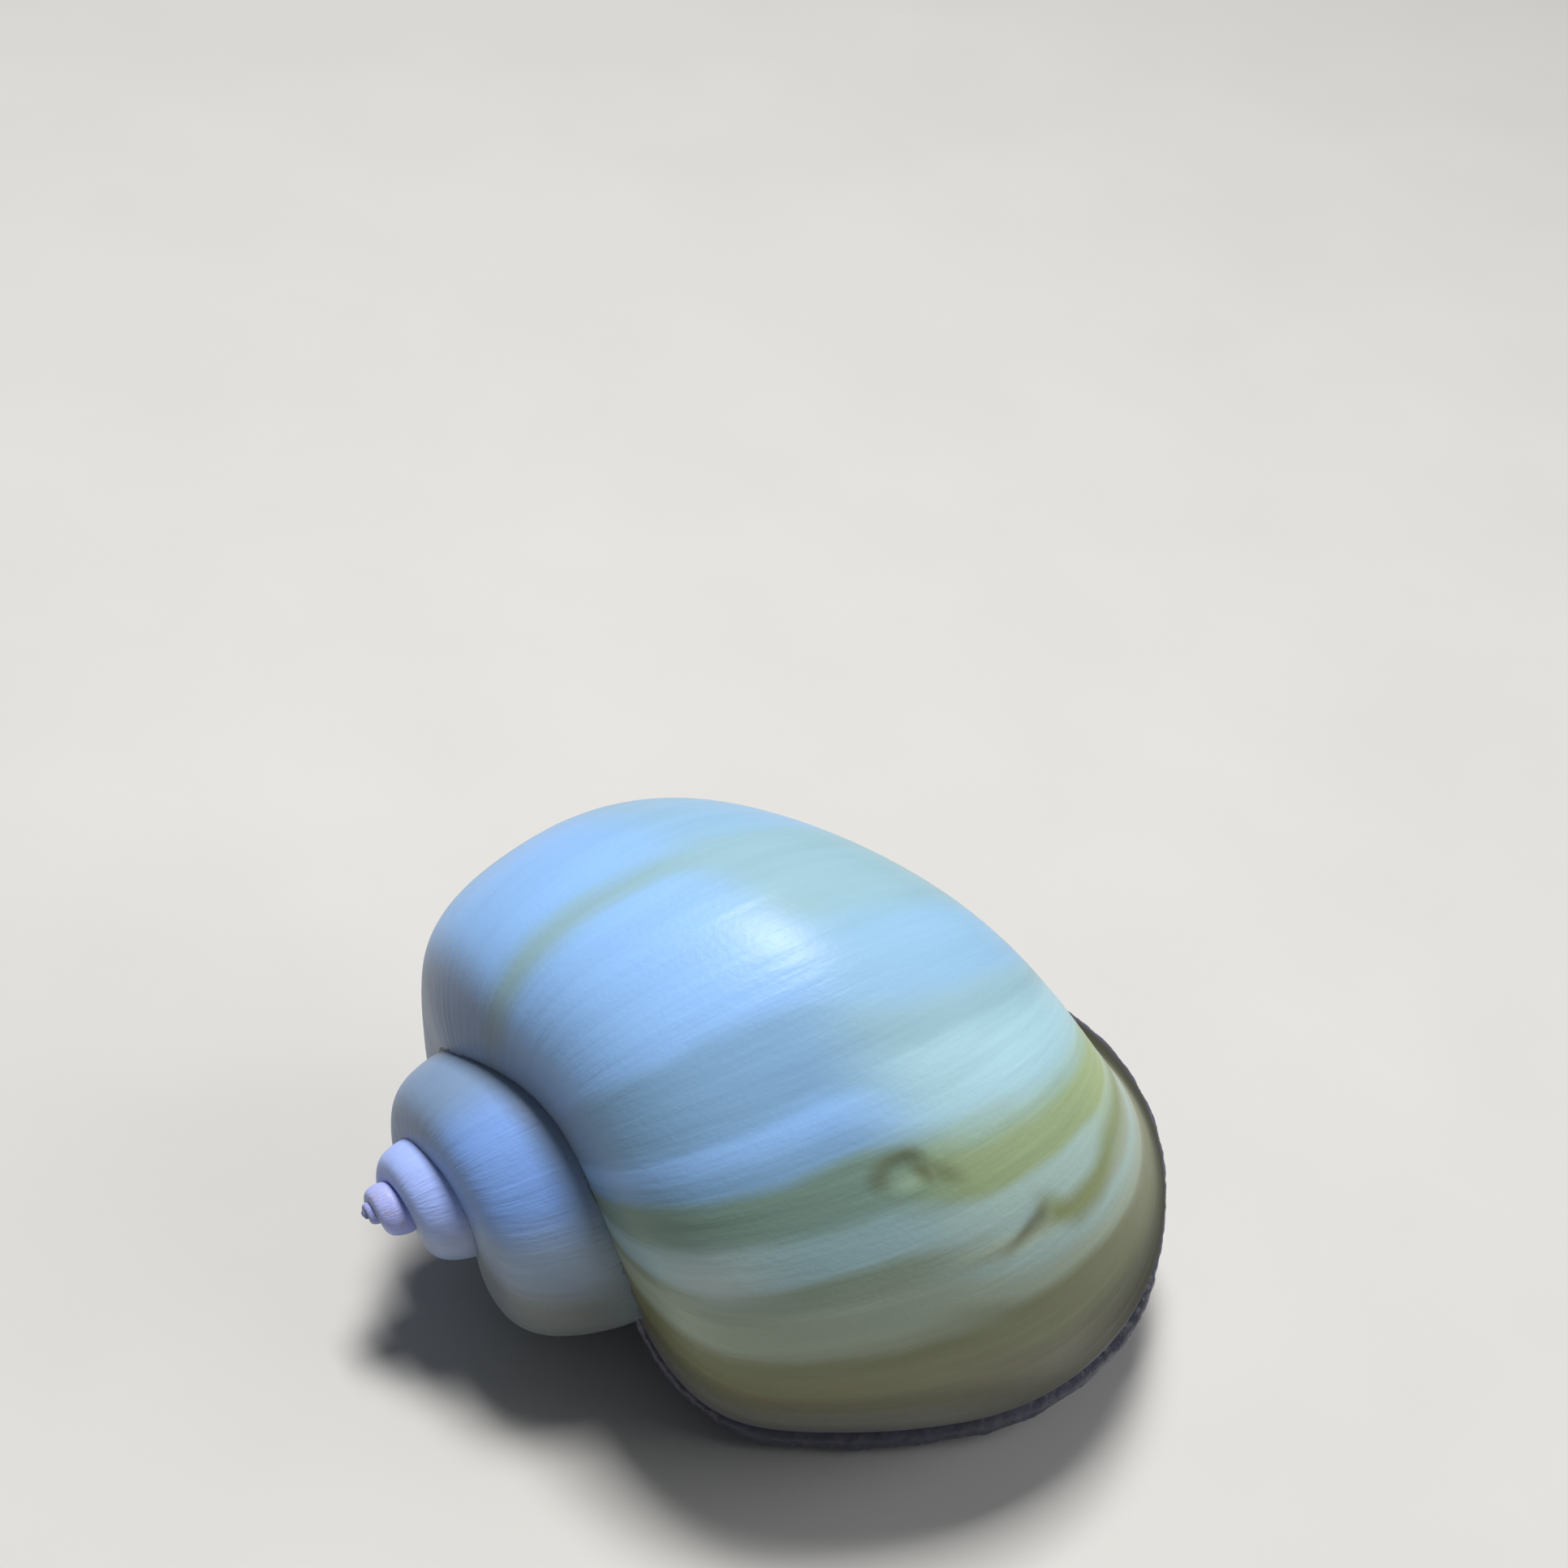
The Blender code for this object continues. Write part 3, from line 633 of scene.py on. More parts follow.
def shell_points(angle, t, inset=0.0, least_radius=AXIS_HOLE):
    """Points of the whorl at a growth angle, set in from the outside by the inset."""
    lean = angle + LIP_LEAN * np.sin(t)
    size = np.exp(GROWTH_RATE * lean)
    across, along = mouth_outline(t, 0.0)
    thin_across, thin_along = mouth_outline(t, inset)
    across = across * size + (thin_across - across)
    along = along * size + (thin_along - along)
    degrees_back = -np.degrees(lean)
    outward, upward = uneven_growth(degrees_back)
    wave = lip_wave(degrees_back, t)
    across = across + wave * np.cos(t)
    along = along + wave * np.sin(t)
    radius = MOUTH_FROM_AXIS * np.exp(GROWTH_RATE * (1.0 + RADIAL_ALLOMETRY) * lean) + across + outward * size
    radius = np.maximum(radius, least_radius)
    height = -MOUTH_BELOW_APEX * np.exp(GROWTH_RATE * (1.0 + AXIAL_ALLOMETRY) * lean) + along + upward * size
    height += SPIRE_RISE * smooth_step(degrees_back, SPIRE_RISE_FROM, SPIRE_RISE_TO)
    return in_place(np.stack([radius * np.cos(lean), -radius * np.sin(lean), height], axis=-1))


def growth_relief(angle, t):
    """Fine relief of the outside: growth lines, a few rest marks, the old dimple and the hooked notch."""
    growth = np.degrees(angle)
    around = np.degrees(t)
    strength = 0.6 + 0.4 * np.sin(growth * 0.37)
    relief = GROWTH_LINE_HEIGHT * np.sin(growth * 1.9 + 2.0 * np.sin(t * 2.0)) * strength
    relief = relief + CROSS_LINE_HEIGHT * np.sin(growth * 3.3 + 1.3 * np.sin(t * 3.0 + 1.0))
    for mark in REST_MARKS:
        place = mark + 1.5 * np.sin(t * 2.0)
        relief = relief + REST_MARK_HEIGHT * bump_at(growth, place, REST_MARK_HALF_WIDTH)
    wide, tall = DIMPLE_HALF_WIDTHS
    dimple = ((growth - DIMPLE[0]) / wide) ** 2 + ((around - DIMPLE[1]) / tall) ** 2
    relief = relief - DIMPLE_DEPTH * np.exp(-dimple) + DIMPLE_RIM * np.exp(-((dimple - 1.7) ** 2) / 0.5)
    wide, tall = NOTCH_HALF_WIDTHS
    from_notch = growth - NOTCH_GROWTH - NOTCH_SLANT * around
    notch = (from_notch / wide) ** 2 + ((around - NOTCH_AROUND) / tall) ** 2
    relief = relief - NOTCH_DEPTH * np.exp(-notch)
    return relief * math.exp(GROWTH_RATE * angle)


def outside(angle):
    """One ring of the shell's outside, fine relief and all."""
    return shell_points(angle, ROUND_WHORL, inset=-growth_relief(angle, ROUND_WHORL))


def rounded_start(rings):
    """A small dome over the first ring, where the shell began."""
    first = rings[0]
    middle = first.mean(axis=0)
    onward = middle - rings[1].mean(axis=0)
    onward *= 0.5 * np.ptp(first, axis=0).max() / np.linalg.norm(onward)
    dome = []
    for lean in DOME_LEANS:
        dome.append(middle + (first - middle) * math.cos(lean) + onward * math.sin(lean))
    return dome + rings


def half_turn(name, half, finish):
    """Half a turn of the solid whorl, counted back from the lip."""
    angles = np.linspace(-math.pi * (half + 1), -math.pi * half, WHORL_STEPS[half] + 1)
    rings = [outside(angle) for angle in angles]
    if half == len(WHORL_STEPS) - 1:
        rings = rounded_start(rings)
    return loft(name, rings, finish)


def lip_wall(angle):
    """Thickness of the shell behind the lip, thinning to the edge."""
    return LIP_EDGE_WALL + (LIP_WALL - LIP_EDGE_WALL) * smooth_step(-angle, 0.0, LIP_THINNING_TURN)


def hollow_of_mouth(finish):
    """Space behind the lip."""
    rings = []
    for angle in np.linspace(-HOLLOW_TURN, HOLLOW_PAST_LIP, HOLLOW_STEPS):
        rings.append(shell_points(angle, ROUND_WHORL, lip_wall(angle), COLUMELLA_RADIUS))
    return loft("hollow_of_mouth", rings, finish)


def first_bulb(finish):
    """The smooth bulb the shell began with, at the very tip."""
    circle = unit_circle(angles_round(40)) * FIRST_BULB_RADIUS
    rings = []
    for lean in np.linspace(0.08, math.pi - 0.08, 20):
        height = FIRST_BULB_HEIGHT - FIRST_BULB_RADIUS * FIRST_BULB_STRETCH * math.cos(lean)
        rings.append(in_place(circle * math.sin(lean) + (0.0, 0.0, height)))
    return loft("first_bulb", rings, finish)


def columella(finish):
    """The solid pillar up the middle of the whorls."""
    circle = unit_circle(angles_round(48))
    rings = [in_place(circle * radius - (0.0, 0.0, depth)) for depth, radius in COLUMELLA_CORE]
    return loft("columella", rings, finish)


def growth_of(mesh):
    """Growth angle and angle round the whorl, in degrees, at each point of the joined shell."""
    stations = []
    readings = []
    for half, steps in enumerate(WHORL_STEPS):
        for angle in np.linspace(-math.pi * half, -math.pi * (half + 1), steps + 1):
            stations.append(outside(angle))
            readings.append(np.stack([np.full_like(ROUND_WHORL, angle), ROUND_WHORL], axis=-1))
    stations = np.concatenate(stations)
    readings = np.degrees(np.concatenate(readings))
    tree = KDTree(len(stations))
    for k, point in enumerate(stations):
        tree.insert(point, k)
    tree.balance()
    nearest = [tree.find(point)[1] for point in mesh_points(mesh)]
    return readings[nearest]


def make_shell(finish):
    """The half turns joined into one solid, with the mouth hollowed before the older ones are added."""
    shell = half_turn("shell_of_lime", 0, finish)
    combine(shell, "DIFFERENCE", hollow_of_mouth(finish))
    for half in range(1, len(WHORL_STEPS)):
        combine(shell, "UNION", half_turn(f"half_turn_{half}", half, finish))
    combine(shell, "UNION", first_bulb(finish))
    combine(shell, "UNION", columella(finish))
    mesh = shell.data
    readings = growth_of(mesh)
    paint_attribute(mesh, "growth", readings[:, 0])
    paint_attribute(mesh, "around", readings[:, 1])
    mesh.shade_smooth()
    mesh.set_sharp_from_angle(angle=SHELL_CREASE)
    return shell


# Soft body, in millimetres. Stations run along a part, from its root at 0 to its end at 1.


def spline(points, count):
    """Smooth curve through the points, read at equal steps along its length. Any extra columns follow."""
    points = np.array(points, float)
    ends = np.vstack([2 * points[0] - points[1], points, 2 * points[-1] - points[-2]])
    fine = []
    for p0, p1, p2, p3 in zip(ends, ends[1:], ends[2:], ends[3:]):
        for u in np.linspace(0.0, 1.0, 24, endpoint=False):
            bend = (2 * p0 - 5 * p1 + 4 * p2 - p3) * u**2 + (3 * p1 - p0 - 3 * p2 + p3) * u**3
            fine.append(p1 + 0.5 * ((p2 - p0) * u + bend))
    fine = np.array(fine + [points[-1]])
    run = np.concatenate([[0.0], np.cumsum(np.linalg.norm(np.diff(fine[:, :3], axis=0), axis=1))])
    at = np.linspace(0.0, run[-1], count)
    return np.stack([np.interp(at, run, column) for column in fine.T], axis=-1)


def sweep(line, half_widths, half_heights, points=24):
    """Oval rings along a line, kept level from side to side."""
    a = angles_round(points)
    headings = np.gradient(line, axis=0)
    headings /= np.linalg.norm(headings, axis=1)[:, None]
    rings = []
    for point, heading, width, height in zip(line, headings, half_widths, half_heights):
        side = np.cross(heading, (0.0, 0.0, 1.0))
        side /= np.linalg.norm(side)
        rise = np.cross(side, heading)
        rings.append(point + np.outer(width * np.cos(a), side) + np.outer(height * np.sin(a), rise))
    return rings, headings


# Mantle. Its depth and where it stops behind the lip are growth angles.

MANTLE_DEPTH = 0.40
MANTLE_GAP = 0.06
MANTLE_FACE = 1.5
MANTLE_FACE_INSET = 1.6
MANTLE_STEPS = 16
MANTLE_STOP = 0.035
MANTLE_CORE_GAP = 0.3
MANTLE_RIM_NARROW = 0.35
MANTLE_RIM_EXTRA = 0.60
MANTLE_RIM_WAVE = 0.10
MANTLE_RIM_PROFILE = (
    (-0.35, 0.16),
    (0.2, 0.22),
    (0.62, 0.36),
    (0.9, 0.58),
    (1.0, 0.84),
    (0.93, 1.1),
    (0.68, 1.28),
)


def mouth_frame():
    """Middle of the lip, the direction out of the mouth, and the lip's points in order with their angles."""
    t = angles_round(256, -math.pi)
    lip = shell_points(0.0, t)
    middle = lip.mean(axis=0)
    _, _, axes = np.linalg.svd(lip - middle)
    out = axes[2] if axes[2][2] < 0.0 else -axes[2]
    return middle, out, lip, t


def mantle_flare(t):
    """How far the rim reaches past the lip: broad away from the axis, narrow elsewhere, a little uneven."""
    degrees = np.degrees(t)
    broad = smooth_step(degrees, -64.0, -38.0) * smooth_step(degrees, 66.0, 34.0)
    flare = MANTLE_RIM_NARROW + MANTLE_RIM_EXTRA * broad
    flare *= 1.0 - MANTLE_RIM_WAVE * np.sin(t * 23.0) * np.sin(t * 9.0 + 1.0)
    return flare[:, None]


def make_mantle(finish):
    """Plug in the mouth, and a soft rim over the lip's edge."""
    middle, out, lip, t = mouth_frame()
    inward = middle - lip
    inward /= np.linalg.norm(inward, axis=1)[:, None]
    flare = mantle_flare(t)
    least_radius = COLUMELLA_RADIUS + MANTLE_CORE_GAP
    rings = []
    for angle in np.linspace(-MANTLE_DEPTH, -MANTLE_STOP, MANTLE_STEPS):
        rings.append(shell_points(angle, t, lip_wall(angle) + MANTLE_GAP, least_radius))
    rings.append(shell_points(0.0, t, LIP_EDGE_WALL + 0.1, least_radius) + out * 0.12)
    for share, rise in MANTLE_RIM_PROFILE:
        rings.append(lip - inward * flare * share + out * (0.06 + rise * (0.45 + 0.55 * flare)))
    rings.append(lip + inward * 0.3 + out * 1.3)
    rings.append(lip + inward * MANTLE_FACE_INSET + out * MANTLE_FACE)
    for share, rise in ((0.35, 1.3), (0.7, 1.0)):
        rings.append(lip + (middle - lip) * share + out * rise)
    return loft("mantle_form", rings, finish)


# Foot

FOOT_TAIL = (-4.4, -11.4)
FOOT_BEND = (6.0, -6.5)
FOOT_FRONT = (6.0, 22.0)
FOOT_HALF_WIDTH = 9.9
FOOT_HEIGHT = 4.0
TAIL_HEIGHT = 1.9
FOOT_MARGIN = 1.0
FRONT_DROP = 1.6
LEAST_FOOT_WIDTH = 0.13
TAIL_ROUNDING = 0.42
FRONT_ROUNDING_FROM = 0.60
FRONT_ROUNDING = 0.405
EDGE_WAVE = 0.012
BACK_SLOPE = 0.36
BACK_SHARES = (0.985, 0.96, 0.93, 0.885, 0.84, 0.79, 0.74, 0.69, 0.64, 0.52, 0.4, 0.2, 0.0)


def foot_line(s):
    """Place and heading of the sole's midline, from the tail at 0 to the front at 1."""
    tail, bend, front = (Vector(point) for point in (FOOT_TAIL, FOOT_BEND, FOOT_FRONT))
    point = tail * (1 - s) ** 2 + bend * 2 * s * (1 - s) + front * s**2
    heading = ((bend - tail) * (1 - s) + (front - bend) * s).normalized()
    return point, heading


def foot_half_width(s):
    """Rounded at the tail, widest along the middle, and cut blunt at the front."""
    tail = math.sin(min(s / TAIL_ROUNDING, 1.0) * math.pi / 2) ** 0.75
    front = max(1.0 - (max(s - FRONT_ROUNDING_FROM, 0.0) / FRONT_ROUNDING) ** 5, 0.0) ** 0.5
    return FOOT_HALF_WIDTH * max(tail * front, LEAST_FOOT_WIDTH)


def foot_height(s):
    """Low along the tail, high under the stalk, then falling to a round front edge."""
    height = TAIL_HEIGHT * smooth_step(s / 0.12 + 0.25)
    height += (FOOT_HEIGHT - TAIL_HEIGHT) * smooth_step((s - 0.42) / 0.12)
    height -= FRONT_DROP * smooth_step((s - 0.82) / 0.18)
    return float(height * max(1.0 - (max(s - 0.965, 0.0) / 0.034) ** 2, 0.15) ** 0.5)


def foot_ring(s):
    """Flat sole, thin soft margin that waves a little, and a raised back."""
    point, heading = foot_line(s)
    across = Vector((heading.y, -heading.x))
    width, height = foot_half_width(s), foot_height(s)
    width *= 1.0 - EDGE_WAVE * (1.0 + math.sin(s * 61.0)) * min(1.0, width / 6.0)
    margin = min(FOOT_MARGIN, 0.45 * height)
    side = [(1.0 - 0.9 / width, 0.0), (1.0 - 0.3 / width, 0.12 * margin), (1.0, 0.5 * margin)]
    side.append((0.995, 0.8 * margin))
    for share in BACK_SHARES:
        side.append((share, margin + (height - margin) * smooth_step((1.0 - share) / BACK_SLOPE)))
    other_side = [(-share, z) for share, z in reversed(side[:-1])]
    return [(*(point + across * (share * width)), z) for share, z in side + other_side]


def make_foot(finish):
    """The whole foot, its rings closest together at both ends."""
    steps = 0.5 - 0.5 * np.cos(np.linspace(0.0, math.pi, 130))
    return loft("foot_form", [foot_ring(0.004 + 0.992 * s) for s in steps], finish)


# Stalk of the body

STALK_FOOT = (6.5, 3.5)
STALK_FOOT_RADII = (6.4, 5.9)
STALK_INTO_FOOT = 1.2
STALK_INTO_FACE = 0.5
STALK_TURN = math.radians(52.0)
STALK_TOP_SHIFT = (0.8, 3.6)
STALK_TOP_RADIUS = 7.6
STALK_WAIST = 0.10
STALK_PLEATS = 17
STALK_PLEAT_DEPTH = 0.012


def make_stalk(finish):
    """The column from the foot up to the mouth of the shell, waisted and finely pleated."""
    middle, out, _, _ = mouth_frame()
    a = angles_round(72)
    circle = np.stack([np.cos(a), np.sin(a)], axis=-1)
    turn = np.array(Matrix.Rotation(STALK_TURN, 2))
    base = (circle * STALK_FOOT_RADII) @ turn.T + STALK_FOOT
    base = np.column_stack([base, np.full_like(a, FOOT_HEIGHT - STALK_INTO_FOOT)])
    face = middle + out * (MANTLE_FACE - STALK_INTO_FACE)
    top = circle @ turn.T * STALK_TOP_RADIUS + middle[:2] + STALK_TOP_SHIFT
    top = np.column_stack([top, face[2] - ((top - face[:2]) @ out[:2]) / out[2]])
    rings = []
    for share in np.linspace(0.0, 1.0, 24):
        ring = base * (1.0 - share) + top * share
        spread = (ring - ring.mean(axis=0)) * (1.0, 1.0, 0.0)
        pleat = 1.0 - STALK_PLEAT_DEPTH * (1.0 + np.sin(a * STALK_PLEATS + 5.0 * share))
        waist = (1.0 - STALK_WAIST * math.sin(math.pi * share)) * pleat - 1.0
        rings.append(ring + spread * waist[:, None])
    return loft("stalk_form", rings, finish)


# Head

HEAD_MIDLINE = 2.4

# Sections of neck, head and snout: y, x from the midline, z, half width and half height.
HEAD_SECTIONS = (
    (5.6, 3.4, 7.9, 4.5, 3.0),
    (8.4, 2.9, 7.9, 4.85, 3.35),
    (10.6, 1.8, 7.8, 4.55, 3.25),
    (12.5, 0.85, 7.8, 4.25, 3.15),
    (13.8, 0.3, 7.8, 4.5, 3.2),
    (15.2, 0.0, 7.8, 4.55, 3.2),
    (16.8, 0.0, 7.6, 4.0, 3.0),
    (18.3, 0.0, 7.25, 3.3, 2.6),
    (20.0, 0.0, 6.5, 2.9, 2.1),
    (21.3, 0.0, 5.75, 2.7, 1.7),
    (22.1, 0.0, 5.3, 2.2, 1.2),
)
LOWER_HEAD = 0.92
HEAD_CREASE = 0.008
MOUTH_CLEFT = 0.55
MOUTH_CLEFT_HALF_WIDTH = 0.34
SNOUT_END = ((0.93, 0.072), (0.78, 0.144), (0.5, 0.192))


def make_head(finish):
    """Neck, head and snout in one, flatter below, with fine creases and a cleft for the mouth."""
    rows = np.array(HEAD_SECTIONS)
    line = rows[:, (1, 0, 2, 3, 4)]
    a = angles_round(72)
    lower = np.where(np.sin(a) < 0.0, LOWER_HEAD, 1.0)
    under = bump_at(a, 0.75 * TURN, MOUTH_CLEFT_HALF_WIDTH)
    rings = []
    for x, y, z, width, height in spline(line, 110):
        cleft = MOUTH_CLEFT * smooth_step(y, 19.6, 22.0) * under
        crease = 1.0 - HEAD_CREASE * (1.0 + math.sin(y * 5.2)) * (1.0 - smooth_step(y, 18.0, 20.0))
        ring = (
            HEAD_MIDLINE + x + width * crease * np.cos(a),
            np.full_like(a, y),
            z + height * crease * lower * np.sin(a) + cleft,
        )
        rings.append(np.stack(ring, axis=-1))
    last = rings[-1]
    middle = last.mean(axis=0)
    for share, forward in SNOUT_END:
        rings.append(middle + (last - middle) * share + (0.0, forward, 0.0))
    return loft("head_form", rings, finish)


# Feelers

TENTACLES = {
    "left": (
        (0.6, 16.2, 8.6), (-1.2, 18.0, 9.5), (-3.2, 20.4, 9.8), (-7.2, 22.6, 8.4), (-12.0, 22.6, 6.0),
        (-16.2, 20.0, 4.0), (-19.2, 15.8, 2.6), (-20.6, 11.2, 1.9),
    ),
    "right": (
        (4.2, 16.4, 9.0), (6.3, 17.9, 9.5), (8.4, 18.4, 8.1), (11.8, 17.0, 5.9), (15.4, 13.4, 4.2),
        (17.6, 8.6, 2.9), (18.0, 3.6, 2.1),
    ),
}
TENTACLE_RADII = (1.02, 0.93, 0.30)
PALPS = {
    "left": ((1.5, 20.8, 5.7), (0.9, 22.9, 5.0), (-0.2, 24.4, 4.4), (-1.8, 26.0, 3.2), (-3.6, 26.9, 2.0)),
    "right": ((3.3, 20.8, 5.7), (3.9, 22.9, 5.0), (5.0, 24.4, 4.4), (6.6, 26.0, 3.2), (8.4, 26.9, 2.0)),
}
PALP_RADII = (1.0, 0.74, 0.28)
FEELER_STATIONS = (0.0, 0.12, 1.0)
FEELER_RING_DEPTH = 0.018
FEELER_TIP = (0.97, 0.88, 0.70, 0.40)


def tapering_feeler(name, route, radii, finish, count):
    """A feeler that thins from a swollen root, faintly ringed, with a round tip."""
    line = spline(route, count)
    share = np.linspace(0.0, 1.0, count)
    radius = np.interp(share, FEELER_STATIONS, radii)
    radius *= 1.0 - FEELER_RING_DEPTH * np.sin(share * count * 1.1)
    radius[-len(FEELER_TIP):] *= FEELER_TIP
    rings, _ = sweep(line, radius, radius)
    return loft(name, rings, finish)


# Siphon and lobe of the neck

SIPHON = ((1.4, 2.6, 10.8), (-1.0, 5.4, 11.0), (-3.4, 8.6, 10.9), (-6.0, 11.6, 11.1))
SIPHON_STATIONS = (0.0, 0.6, 1.0)
SIPHON_HALF_WIDTHS = (2.05, 1.75, 1.88)
SIPHON_HALF_HEIGHTS = (1.65, 1.5, 1.68)
SIPHON_OPENING = ((0.93, -0.05), (0.84, 0.0), (0.76, 0.25), (0.70, 0.9), (0.66, 1.8), (0.5, 2.5))
LOBE = ((10.6, 2.6, 9.4), (12.2, 5.6, 9.9), (12.7, 8.4, 9.5), (12.2, 10.9, 8.5))
LOBE_HALF_WIDTHS = (1.95, 1.6)
LOBE_STATIONS = (0.0, 0.3, 1.0)
LOBE_HALF_HEIGHTS = (1.0, 0.66, 0.42)
LOBE_ARCH = 0.28


def make_siphon(finish):
    """A short soft tube with a flared open tip."""
    line = spline(SIPHON, 60)
    share = np.linspace(0.0, 1.0, 60)
    widths = np.interp(share, SIPHON_STATIONS, SIPHON_HALF_WIDTHS)
    heights = np.interp(share, SIPHON_STATIONS, SIPHON_HALF_HEIGHTS)
    rings, headings = sweep(line, widths, heights, 48)
    tip = line[-1]
    rim = rings[-1]
    for scale, back in SIPHON_OPENING:
        rings.append(tip + (rim - tip) * scale - headings[-1] * back)
    return loft("siphon_form", rings, finish)


def make_lobe(finish):
    """The soft flap on the right of the neck, arched across like a gutter turned over."""
    line = spline(LOBE, 50)
    share = np.linspace(0.0, 1.0, 50)
    fall = np.sqrt(np.clip(1.0 - ((share - 0.82).clip(0.0) / 0.185) ** 2, 0.02, 1.0))
    widths = np.interp(share, (0.0, 1.0), LOBE_HALF_WIDTHS) * fall
    heights = np.interp(share, LOBE_STATIONS, LOBE_HALF_HEIGHTS) * fall
    rings, _ = sweep(line, widths, heights, 36)
    arch = LOBE_ARCH * np.cos(angles_round(36)) ** 2
    for ring, drop in zip(rings, fall):
        ring[:, 2] -= arch * drop
    return loft("lobe_form", rings, finish)


# Eye stalks

SIDES = {"left": -1.0, "right": 1.0}
EYE_STALK_ROOT = (3.6, 14.6, 10.6)
EYE_STALK_RISE = (0.95, 0.3, 1.35)
EYE_STALK_STATIONS = (0.0, 0.3, 0.6, 0.88, 1.0)
EYE_STALK_RADII = (1.15, 0.84, 0.66, 0.66, 0.60)
EYE_STALK_INTO_HEAD = 1.4
COLLAR_START = 0.34
COLLAR_TOP = 0.06
EYE_ABOVE_STALK = 0.92


def eye_axis(sign):
    """Root of an eye stalk, its top, and the eye's middle."""
    x, y, z = EYE_STALK_ROOT
    root = Vector((HEAD_MIDLINE + sign * x, y, z))
    x, y, z = EYE_STALK_RISE
    top = root + Vector((sign * x, y, z))
    return root, top, top + (top - root).normalized() * EYE_ABOVE_STALK


def make_eye_stalk(side, finish):
    """A stalk whose tip rises round the eye as a soft collar."""
    root, top, eye = eye_axis(SIDES[side])
    axis = (top - root).normalized()
    line = [root - axis * EYE_STALK_INTO_HEAD, root, root.lerp(top, 0.5), top]
    line += [eye - axis * COLLAR_START, eye - axis * COLLAR_TOP]
    radii = np.interp(np.linspace(0.0, 1.0, 40), EYE_STALK_STATIONS, EYE_STALK_RADII)
    rings, _ = sweep(spline(line, 40), radii, radii, 32)
    return loft(f"eye_stalk_form_{side}", rings, finish)


# One skin over the soft body, in millimetres

SKIN_VOXEL = 0.17
SKIN_SOFTENING = 0.5
SKIN_SOFTENING_ROUNDS = 5
SKIN_RIPPLES = (("CLOUDS", 1.1, 0.16), ("STUCCI", 0.42, 0.07))
SOLE_CLEARANCE = 0.012
PALE_EDGE_TOP = 1.35
PALE_EDGE_FADE = 0.7
RIM_FROM_LIP = (1.6, 3.2)
EDGE_FROM_LIP = (2.5, 4.0)
LIP_STRIDE = 6


def joined(name, pieces):
    """One object from several, before they are welded."""
    shared = bmesh.new()
    for piece in pieces:
        shared.from_mesh(piece.data)
        bpy.data.objects.remove(piece)
    mesh = bpy.data.meshes.new(name)
    shared.to_mesh(mesh)
    shared.free()
    return placed(name, mesh)


def weld_and_soften(thing):
    """Turns pieces that run into each other into one smooth skin."""
    weld = thing.modifiers.new("one skin", "REMESH")
    weld.mode = "VOXEL"
    weld.voxel_size = SKIN_VOXEL * MM
    soften = thing.modifiers.new("soften", "SMOOTH")
    soften.factor = SKIN_SOFTENING
    soften.iterations = SKIN_SOFTENING_ROUNDS


def ripple(thing, kind, size, strength):
    """Pushes the surface in and out by a cloudy pattern."""
    pattern = bpy.data.textures.new(f"{thing.name}_{kind.lower()}_{size}", kind)
    pattern.noise_scale = size * MM
    step = thing.modifiers.new(f"{kind} {size}", "DISPLACE")
    step.texture = pattern
    step.strength = strength * MM
    step.mid_level = 0.5
    step.texture_coords = "LOCAL"


def make_skin(finish):
    """All the soft body as one skin, so that no seam shows between its parts."""
    pieces = [make_mantle(finish), make_stalk(finish), make_foot(finish), make_head(finish)]
    pieces += [make_siphon(finish), make_lobe(finish)]
    for side in SIDES:
        pieces.append(tapering_feeler(f"tentacle_form_{side}", TENTACLES[side], TENTACLE_RADII, finish, 150))
        pieces.append(tapering_feeler(f"palp_form_{side}", PALPS[side], PALP_RADII, finish, 60))
        pieces.append(make_eye_stalk(side, finish))
    skin = joined("skin_of_body", pieces)
    weld_and_soften(skin)
    for kind, size, strength in SKIN_RIPPLES:
        ripple(skin, kind, size, strength)
    settle(skin)
    mesh = skin.data
    mesh.shade_smooth()
    mesh.materials.clear()
    mesh.materials.append(finish)
    points = mesh_points(mesh)
    points[:, 2] = np.maximum(points[:, 2], SOLE_CLEARANCE)
    mesh.vertices.foreach_set("co", (points * MM).astype(np.float32).ravel())
    _, _, lip, _ = mouth_frame()
    from_lip = np.min(np.linalg.norm(points[:, None, :] - lip[None, ::LIP_STRIDE, :], axis=2), axis=1)
    foot_edge = smooth_step(PALE_EDGE_TOP - points[:, 2], 0.0, PALE_EDGE_FADE)
    paint_attribute(mesh, "pale_edge", foot_edge * smooth_step(from_lip, *EDGE_FROM_LIP))
    paint_attribute(mesh, "rim", 1.0 - smooth_step(from_lip, *RIM_FROM_LIP))
    mesh.update()
    return skin


# Eyes and operculum, in millimetres

EYE_RADIUS = 0.58
EYE_BALL_RADIUS = 0.985 * EYE_RADIUS
OPERCULUM_ON_FOOT = 0.20
OPERCULUM_SHIFT = (1.3, 0.9, 3.3)
OPERCULUM_HALF_LENGTH = 6.45
OPERCULUM_HALF_WIDTH = 5.25
OPERCULUM_UNDERSIDE = -0.395
OPERCULUM_FACE = -0.02
OPERCULUM_DISH = 0.035
OPERCULUM_RING_DEPTH = 0.016
NUCLEUS_SHIFT = 0.22


